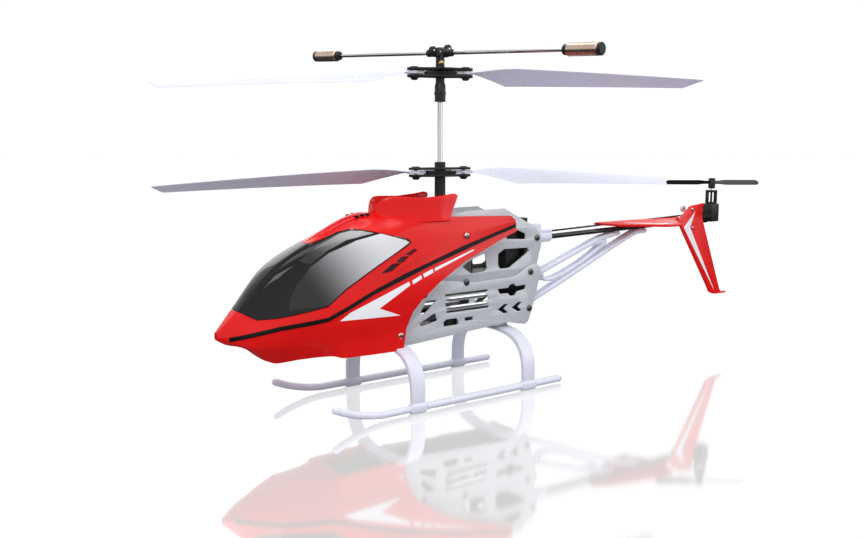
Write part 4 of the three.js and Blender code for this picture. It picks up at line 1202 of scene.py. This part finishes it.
def hub(rotor, azimuth, hub_z, body):
    """Two bow-tie plates with a spacer between them and a screw at each blade root."""
    bottom = [hub_plate(hub_z)]
    for side in (1, -1):
        low, high = sorted((side * 3.3, side * 2.2))
        bottom.append(box("spacer", (-7.8, low, hub_z + HUB_PLATE - 0.05),
            (7.8, high, hub_z + HUB_RISE - GAP), BLACK, 0.2))
    ring = [[1.85, -0.5], [2.4, -0.35], [2.4, 0.1], [1.85, 0.1], [1.85, -0.5]]
    for end in (1, -1):
        bottom.append(lathe("boss", ring, (end * ROOT_PIN_R, 0, hub_z), (0, 0, 1), BLACK, 28))
    item = turned_about_z(joined(f"hub_bottom_{rotor}", bottom), azimuth)
    dress(item, body, "black_plastic", f"hub_{rotor}_bottom")
    top_z = hub_z + HUB_RISE
    top = [hub_plate(top_z)]
    if rotor == "upper":
        angle = math.degrees(math.atan2(LINK_BAR_Y, LINK_BAR_X)) + FLYBAR_AZ - UPPER_BLADE_AZ
        reach = math.hypot(LINK_BAR_X, LINK_BAR_Y) + 1.2
        for turn in (0, 180):
            arm = box("arm", (3.7, -1.2, top_z + 0.02), (reach, 1.2, top_z + HUB_PLATE - 0.02), BLACK, 0.3)
            top.append(turned_about_z(arm, angle + turn))
    for end in (1, -1):
        nut = [[1.15, -0.1], [2.3, -0.1], [2.1, 0.5], [1.15, 0.5], [1.15, -0.1]]
        top.append(lathe("nut", nut, (end * ROOT_PIN_R, 0, top_z + HUB_PLATE), (0, 0, 1), BLACK, 6, 20))
    item = turned_about_z(joined(f"hub_top_{rotor}", top), azimuth)
    dress(item, body, "black_plastic", f"hub_{rotor}_top")
    for name, end in ENDS:
        x = end * ROOT_PIN_R
        head = screw("head", (x, 0, hub_z - 0.3), (0, 0, -1), 1.8, BLACK, 1.2)
        shank = rounded_rod("shank", (x, 0, hub_z - 0.6), (x, 0, top_z + HUB_PLATE - 0.2), 0.8, DARK_STEEL,
            0.2, 16)
        item = turned_about_z(joined(f"root_screw_{rotor}_{name}", [head, shank]), azimuth)
        dress(item, body, "steel", f"blade_screw_{rotor}_{name}")


def mast():
    low, high = low_mm("shaft_outer").z, high_mm("shaft_outer").z
    profile = [[1.8, low], [2.7, low], [2.85, low + 0.2], [2.85, high - 0.3], [2.6, high], [1.8, high],
        [1.8, low]]
    outer = lathe("mast_tube", profile, (0, 0, 0), (0, 0, 1), BLACK, 40)
    dress(outer, "lower_rotor", "black_plastic", "shaft_outer")
    low, high = low_mm("shaft_inner").z, high_mm("shaft_inner").z
    inner = rounded_rod("mast_shaft", (0, 0, low), (0, 0, high), 1.5, STEEL, 0.15, 36)
    dress(inner, "upper_rotor", "steel", "shaft_inner")
    profile = [[0, 151.7], [2.6, 151.7], [2.85, 152], [2.85, 160.1], [2.6, 160.5], [2.35, 161.4],
        [2.3, 162], [2.3, 178.6], [2.0, 179], [1.1, 179], [0.9, 178.2], [0, 178.2]]
    post = [lathe("post", profile, (0, 0, 0), (0, 0, 1), BLACK, 40)]
    grub_profile = [[0, 2.6], [0.7, 2.6], [0.75, 3.0], [0.4, 3.05], [0.35, 2.8], [0, 2.8]]
    for turn in (0, 90, 180, 270):
        grub = lathe("grub", grub_profile, (0, 0, 156), (1, 0, 0), BLACK, 16)
        post.append(turned_about_z(grub, turn + UPPER_BLADE_AZ))
    dress(joined("head_post_turning", post), "upper_rotor", "black_plastic", "head_post")


# ---- flybar ----
def bar_matrix():
    """The flybar's own frame: x along the bar, at rest in the row frame."""
    return (Matrix.Translation(world((0, 0, FLYBAR_Z))) @ Matrix.Rotation(math.radians(FLYBAR_AZ), 4, "Z")
        @ Matrix.Rotation(math.radians(FLYBAR_TILT), 4, "Y"))


def on_bar(item):
    item.data.transform(bar_matrix() @ Matrix.Translation(-world((0, 0, 0))))
    return item


FLYBAR_END = FLYBAR_HALF + 8
WEIGHT_SPAN = (FLYBAR_HALF - 10, FLYBAR_HALF + 10)


def pivot_place(end):
    """Side and height of a pivot pin in the yoke: one eye sits higher than the other."""
    return end * 5.9, 1.6 + end * 0.9


def flybar():
    parts = [lathe("sleeve", collar(3.1, 4.7, -1.9, 1.9), (0, 0, 0), (0, 0, 1), BLACK, 36)]
    socket = [[1.05, 3.8], [1.9, 3.8], [1.9, 8.0], [1.6, 8.4], [1.05, 8.4], [1.05, 3.8]]
    for end in (1, -1):
        parts.append(lathe("socket", socket, (0, 0, 0), (end, 0, 0), BLACK, 24))
        low, high = sorted((end * -4.4, end * -2.6))
        left, right = sorted((end * 3.6, end * (LINK_BAR_X + 1.1)))
        parts.append(box("arm", (left, low, -1.0), (right, high, 1.0), BLACK, 0.3))
        y, z = pivot_place(end)
        parts.append(lathe("eye", collar(0.9, 2.3, -1.1, 1.1), (0, y, z), (1, 0, 0), BLACK, 28))
    dress(on_bar(joined("flybar_centre", parts)), "flybar", "black_plastic", "flybar_yoke")
    pivots = [rounded_rod("pivot", (-1.4, y, z), (1.4, y, z), 0.75, STEEL, 0.3, 18)
        for y, z in (pivot_place(1), pivot_place(-1))]
    dress(on_bar(joined("flybar_pivots", pivots)), "flybar", "steel")
    for name, end in ENDS:
        root, tip = (end * 3.6, 0, 0), (end * FLYBAR_END, 0, 0)
        bar = rounded_rod(f"flybar_wire_{name}", root, tip, 1.0, STEEL, 0.2, 24)
        dress(on_bar(bar), "flybar", "steel", f"flybar_rod_{name}")
        inner, outer = WEIGHT_SPAN
        body = [[1.35, inner + 1.9], [2.7, inner + 1.9], [3.1, inner + 2.3], [3.1, outer - 2.3],
            [2.8, outer - 1.9], [1.35, outer - 1.9], [1.35, inner + 1.9]]
        weight = lathe(f"flybar_weight_turning_{name}", body, (0, 0, 0), (end, 0, 0), CHAMPAGNE, 40)
        dress(on_bar(weight), "flybar", "champagne_metal", f"flybar_weight_{name}")
        shoulder = [[1.3, inner - 0.6], [1.9, inner - 0.6], [2.5, inner], [2.6, inner + 1.85],
            [1.3, inner + 1.85], [1.3, inner - 0.6]]
        plug = [[0, outer - 1.5], [2.7, outer - 1.85], [3.0, outer - 1.5], [3.0, outer - 0.4], [2.6, outer],
            [0, outer]]
        caps = [lathe("cap", profile, (0, 0, 0), (end, 0, 0), BLACK, 32) for profile in (shoulder, plug)]
        dress(on_bar(joined(f"flybar_caps_{name}", caps)), "flybar", "black_plastic")
        ball = [[0, -1.35], [0.7, -1.15], [1.15, -0.7], [1.35, 0], [1.15, 0.7], [0.7, 1.15], [0, 1.35]]
        x, y = LINK_BAR_X, LINK_BAR_Y
        link = [lathe("eye", collar(0.75, 1.75, -0.9, 0.9, 0.25), (x, y, 0), (0, 1, 0), BLACK, 24),
            rounded_rod("stem", (x, y, -1.4), (x, y, -5.0), 0.8, BLACK, 0.2, 16),
            lathe("ball", ball, (x, y, -5.5), (0, 0, 1), BRASS, 24),
            rounded_rod("pin", (x, y - 1.1, 0), (x, -4.7, 0), 0.6, BRASS, 0.2, 14)]
        item = joined(f"link_rod_{name}", link)
        if end < 0:
            turned_about_z(item, 180)
        dress(on_bar(item), f"link_{name}", "black_plastic", f"link_{name}")


# ---- what stays as the CAD made it ----
CARRIED = {
    "chassis": BLACK, "battery": FOIL, "receiver": BLACK, "motor_right": STEEL, "motor_left": STEEL,
    "switch_body": BLACK, "switch_knob": BLACK, "gear_lower_rotor": NYLON, "gear_upper_rotor": NYLON,
    "pinion_lower_rotor": BRASS, "pinion_upper_rotor": BRASS,
}


def carried_nodes():
    for name, material in CARRIED.items():
        item = frame["nodes"][name]
        item.data.materials.clear()
        item.data.materials.append(material)


# ---- studio ----
CAMERA_PLACE = (-275.8, -372.5, 128.5)
CAMERA_AZ = -36
CAMERA_PITCH = 7.865
CAMERA_LENS = 36.76


def camera():
    data = bpy.data.cameras.new("camera")
    data.lens = CAMERA_LENS
    data.sensor_width = 36
    data.clip_start = 0.01
    data.clip_end = 50
    item = bpy.data.objects.new("camera", data)
    azimuth, pitch = math.radians(CAMERA_AZ), math.radians(CAMERA_PITCH)
    look = Vector((-math.sin(azimuth) * math.cos(pitch), math.cos(azimuth) * math.cos(pitch),
        -math.sin(pitch)))
    item.location = world(CAMERA_PLACE)
    item.rotation_euler = look.to_track_quat("-Z", "Y").to_euler()
    bpy.context.scene.collection.objects.link(item)
    bpy.context.scene.camera = item


def light(name, place, aim, size, power, colour=(1, 1, 1)):
    data = bpy.data.lights.new(name, "AREA")
    data.shape = "RECTANGLE"
    data.size, data.size_y = size
    data.energy = power
    data.color = colour
    item = bpy.data.objects.new(name, data)
    item.location = place
    item.rotation_euler = (Vector(aim) - Vector(place)).to_track_quat("-Z", "Y").to_euler()
    bpy.context.scene.collection.objects.link(item)


def path_switch(tree, ray, seen, unseen):
    """One shader for rays of that kind, another for the rest."""
    choose = tree.nodes.new("ShaderNodeMixShader")
    path = tree.nodes.new("ShaderNodeLightPath")
    tree.links.new(path.outputs[ray], choose.inputs["Fac"])
    tree.links.new(unseen, choose.inputs[1])
    tree.links.new(seen, choose.inputs[2])
    return choose.outputs["Shader"]


# strength of the mirrored surroundings near the horizon and overhead
SKY_MIRRORED = (1.0, 0.72)


def studio():
    light("key", (-0.9, -0.9, 1.3), (0, 0, 0.05), (0.9, 0.6), 9.5)
    light("overhead", (0.1, 0.1, 1.2), (0, 0, 0.05), (1.2, 0.8), 7)
    light("side", (0.9, -1.0, 0.5), (0.05, 0, 0.06), (0.5, 0.9), 2.5)
    light("back", (0.3, 1.2, 0.7), (0, 0, 0.08), (1.0, 0.6), 2.5)
    sky = bpy.data.worlds.new("studio")
    sky.use_nodes = True
    bpy.context.scene.world = sky
    tree = sky.node_tree
    ambient = given(tree.nodes["Background"], Color=(0.80, 0.82, 0.88, 1), Strength=0.72)
    mirrored = given(tree.nodes.new("ShaderNodeBackground"), Color=(1, 1, 1, 1))
    direction = tree.nodes.new("ShaderNodeTexCoord")
    height = tree.nodes.new("ShaderNodeSeparateXYZ")
    tree.links.new(direction.outputs["Generated"], height.inputs["Vector"])
    tree.links.new(spread(tree, height.outputs["Z"], *SKY_MIRRORED, 0.3, 0.9), mirrored.inputs["Strength"])
    seen = given(tree.nodes.new("ShaderNodeBackground"), Color=(1, 1, 1, 1), Strength=1.05)
    unseen = path_switch(tree, "Is Glossy Ray", mirrored.outputs["Background"],
        ambient.outputs["Background"])
    shader = path_switch(tree, "Is Camera Ray", seen.outputs["Background"], unseen)
    tree.links.new(shader, tree.nodes["World Output"].inputs["Surface"])
    view = bpy.context.scene.view_settings
    view.view_transform = "Standard"
    view.look = "None"


FLOOR_REFLECTION = 0.42
FLOOR_GLOW = 1.06
FLOOR_MIRRORED = 0.06
FLOOR_HALF = 12000
FLOOR_Z = -0.02


def floor():
    """Pale glossy table top that mirrors the model faintly."""
    material, tree, shader, coords = node_tree("floor_gloss")
    shader.inputs["Base Color"].default_value = (0.5, 0.5, 0.54, 1)
    tree.links.new(spread(tree, noise(tree, coords, 3), 0.3, 0.4), shader.inputs["Roughness"])
    mirror = given(tree.nodes.new("ShaderNodeBsdfGlossy"), Color=(1, 1, 1, 1))
    tree.links.new(spread(tree, noise(tree, coords, 3), 0.05, 0.08), mirror.inputs["Roughness"])
    glow = given(tree.nodes.new("ShaderNodeEmission"), Strength=FLOOR_GLOW)
    table = given(tree.nodes.new("ShaderNodeMixShader"), Fac=FLOOR_REFLECTION)
    tree.links.new(glow.outputs["Emission"], table.inputs[1])
    tree.links.new(mirror.outputs["BSDF"], table.inputs[2])
    dull = given(tree.nodes.new("ShaderNodeEmission"), Strength=FLOOR_MIRRORED)
    unseen = path_switch(tree, "Is Glossy Ray", dull.outputs["Emission"], shader.outputs["BSDF"])
    result = path_switch(tree, "Is Camera Ray", table.outputs["Shader"], unseen)
    tree.links.new(result, tree.nodes["Material Output"].inputs["Surface"])
    corners = [(u * FLOOR_HALF, v * FLOOR_HALF, FLOOR_Z) for u, v in ((-1, -1), (1, -1), (1, 1), (-1, 1))]
    make("floor", corners, [(0, 1, 2, 3)], material)


camera()
studio()
floor()
surface = canopy()
canopy_prints_and_painted_reflections(surface)
roof_spine()
crest()
side_plates()
leg("leg_arch_front", LEG_X[0], "leg_front")
leg("leg_arch_rear", LEG_X[1], "leg_rear")
skids()
tail_boom()
tail_braces()
stabilizer()
fin()
tail_unit()
mast()
hub("lower", LOWER_BLADE_AZ, LOWER_HUB_Z, "lower_rotor")
hub("upper", UPPER_BLADE_AZ, UPPER_HUB_Z, "upper_head")
for index in (0, 1):
    blade("lower", index, LOWER_BLADE_AZ, LOWER_HUB_Z, 1)
    blade("upper", index, UPPER_BLADE_AZ, UPPER_HUB_Z, -1)
flybar()
carried_nodes()
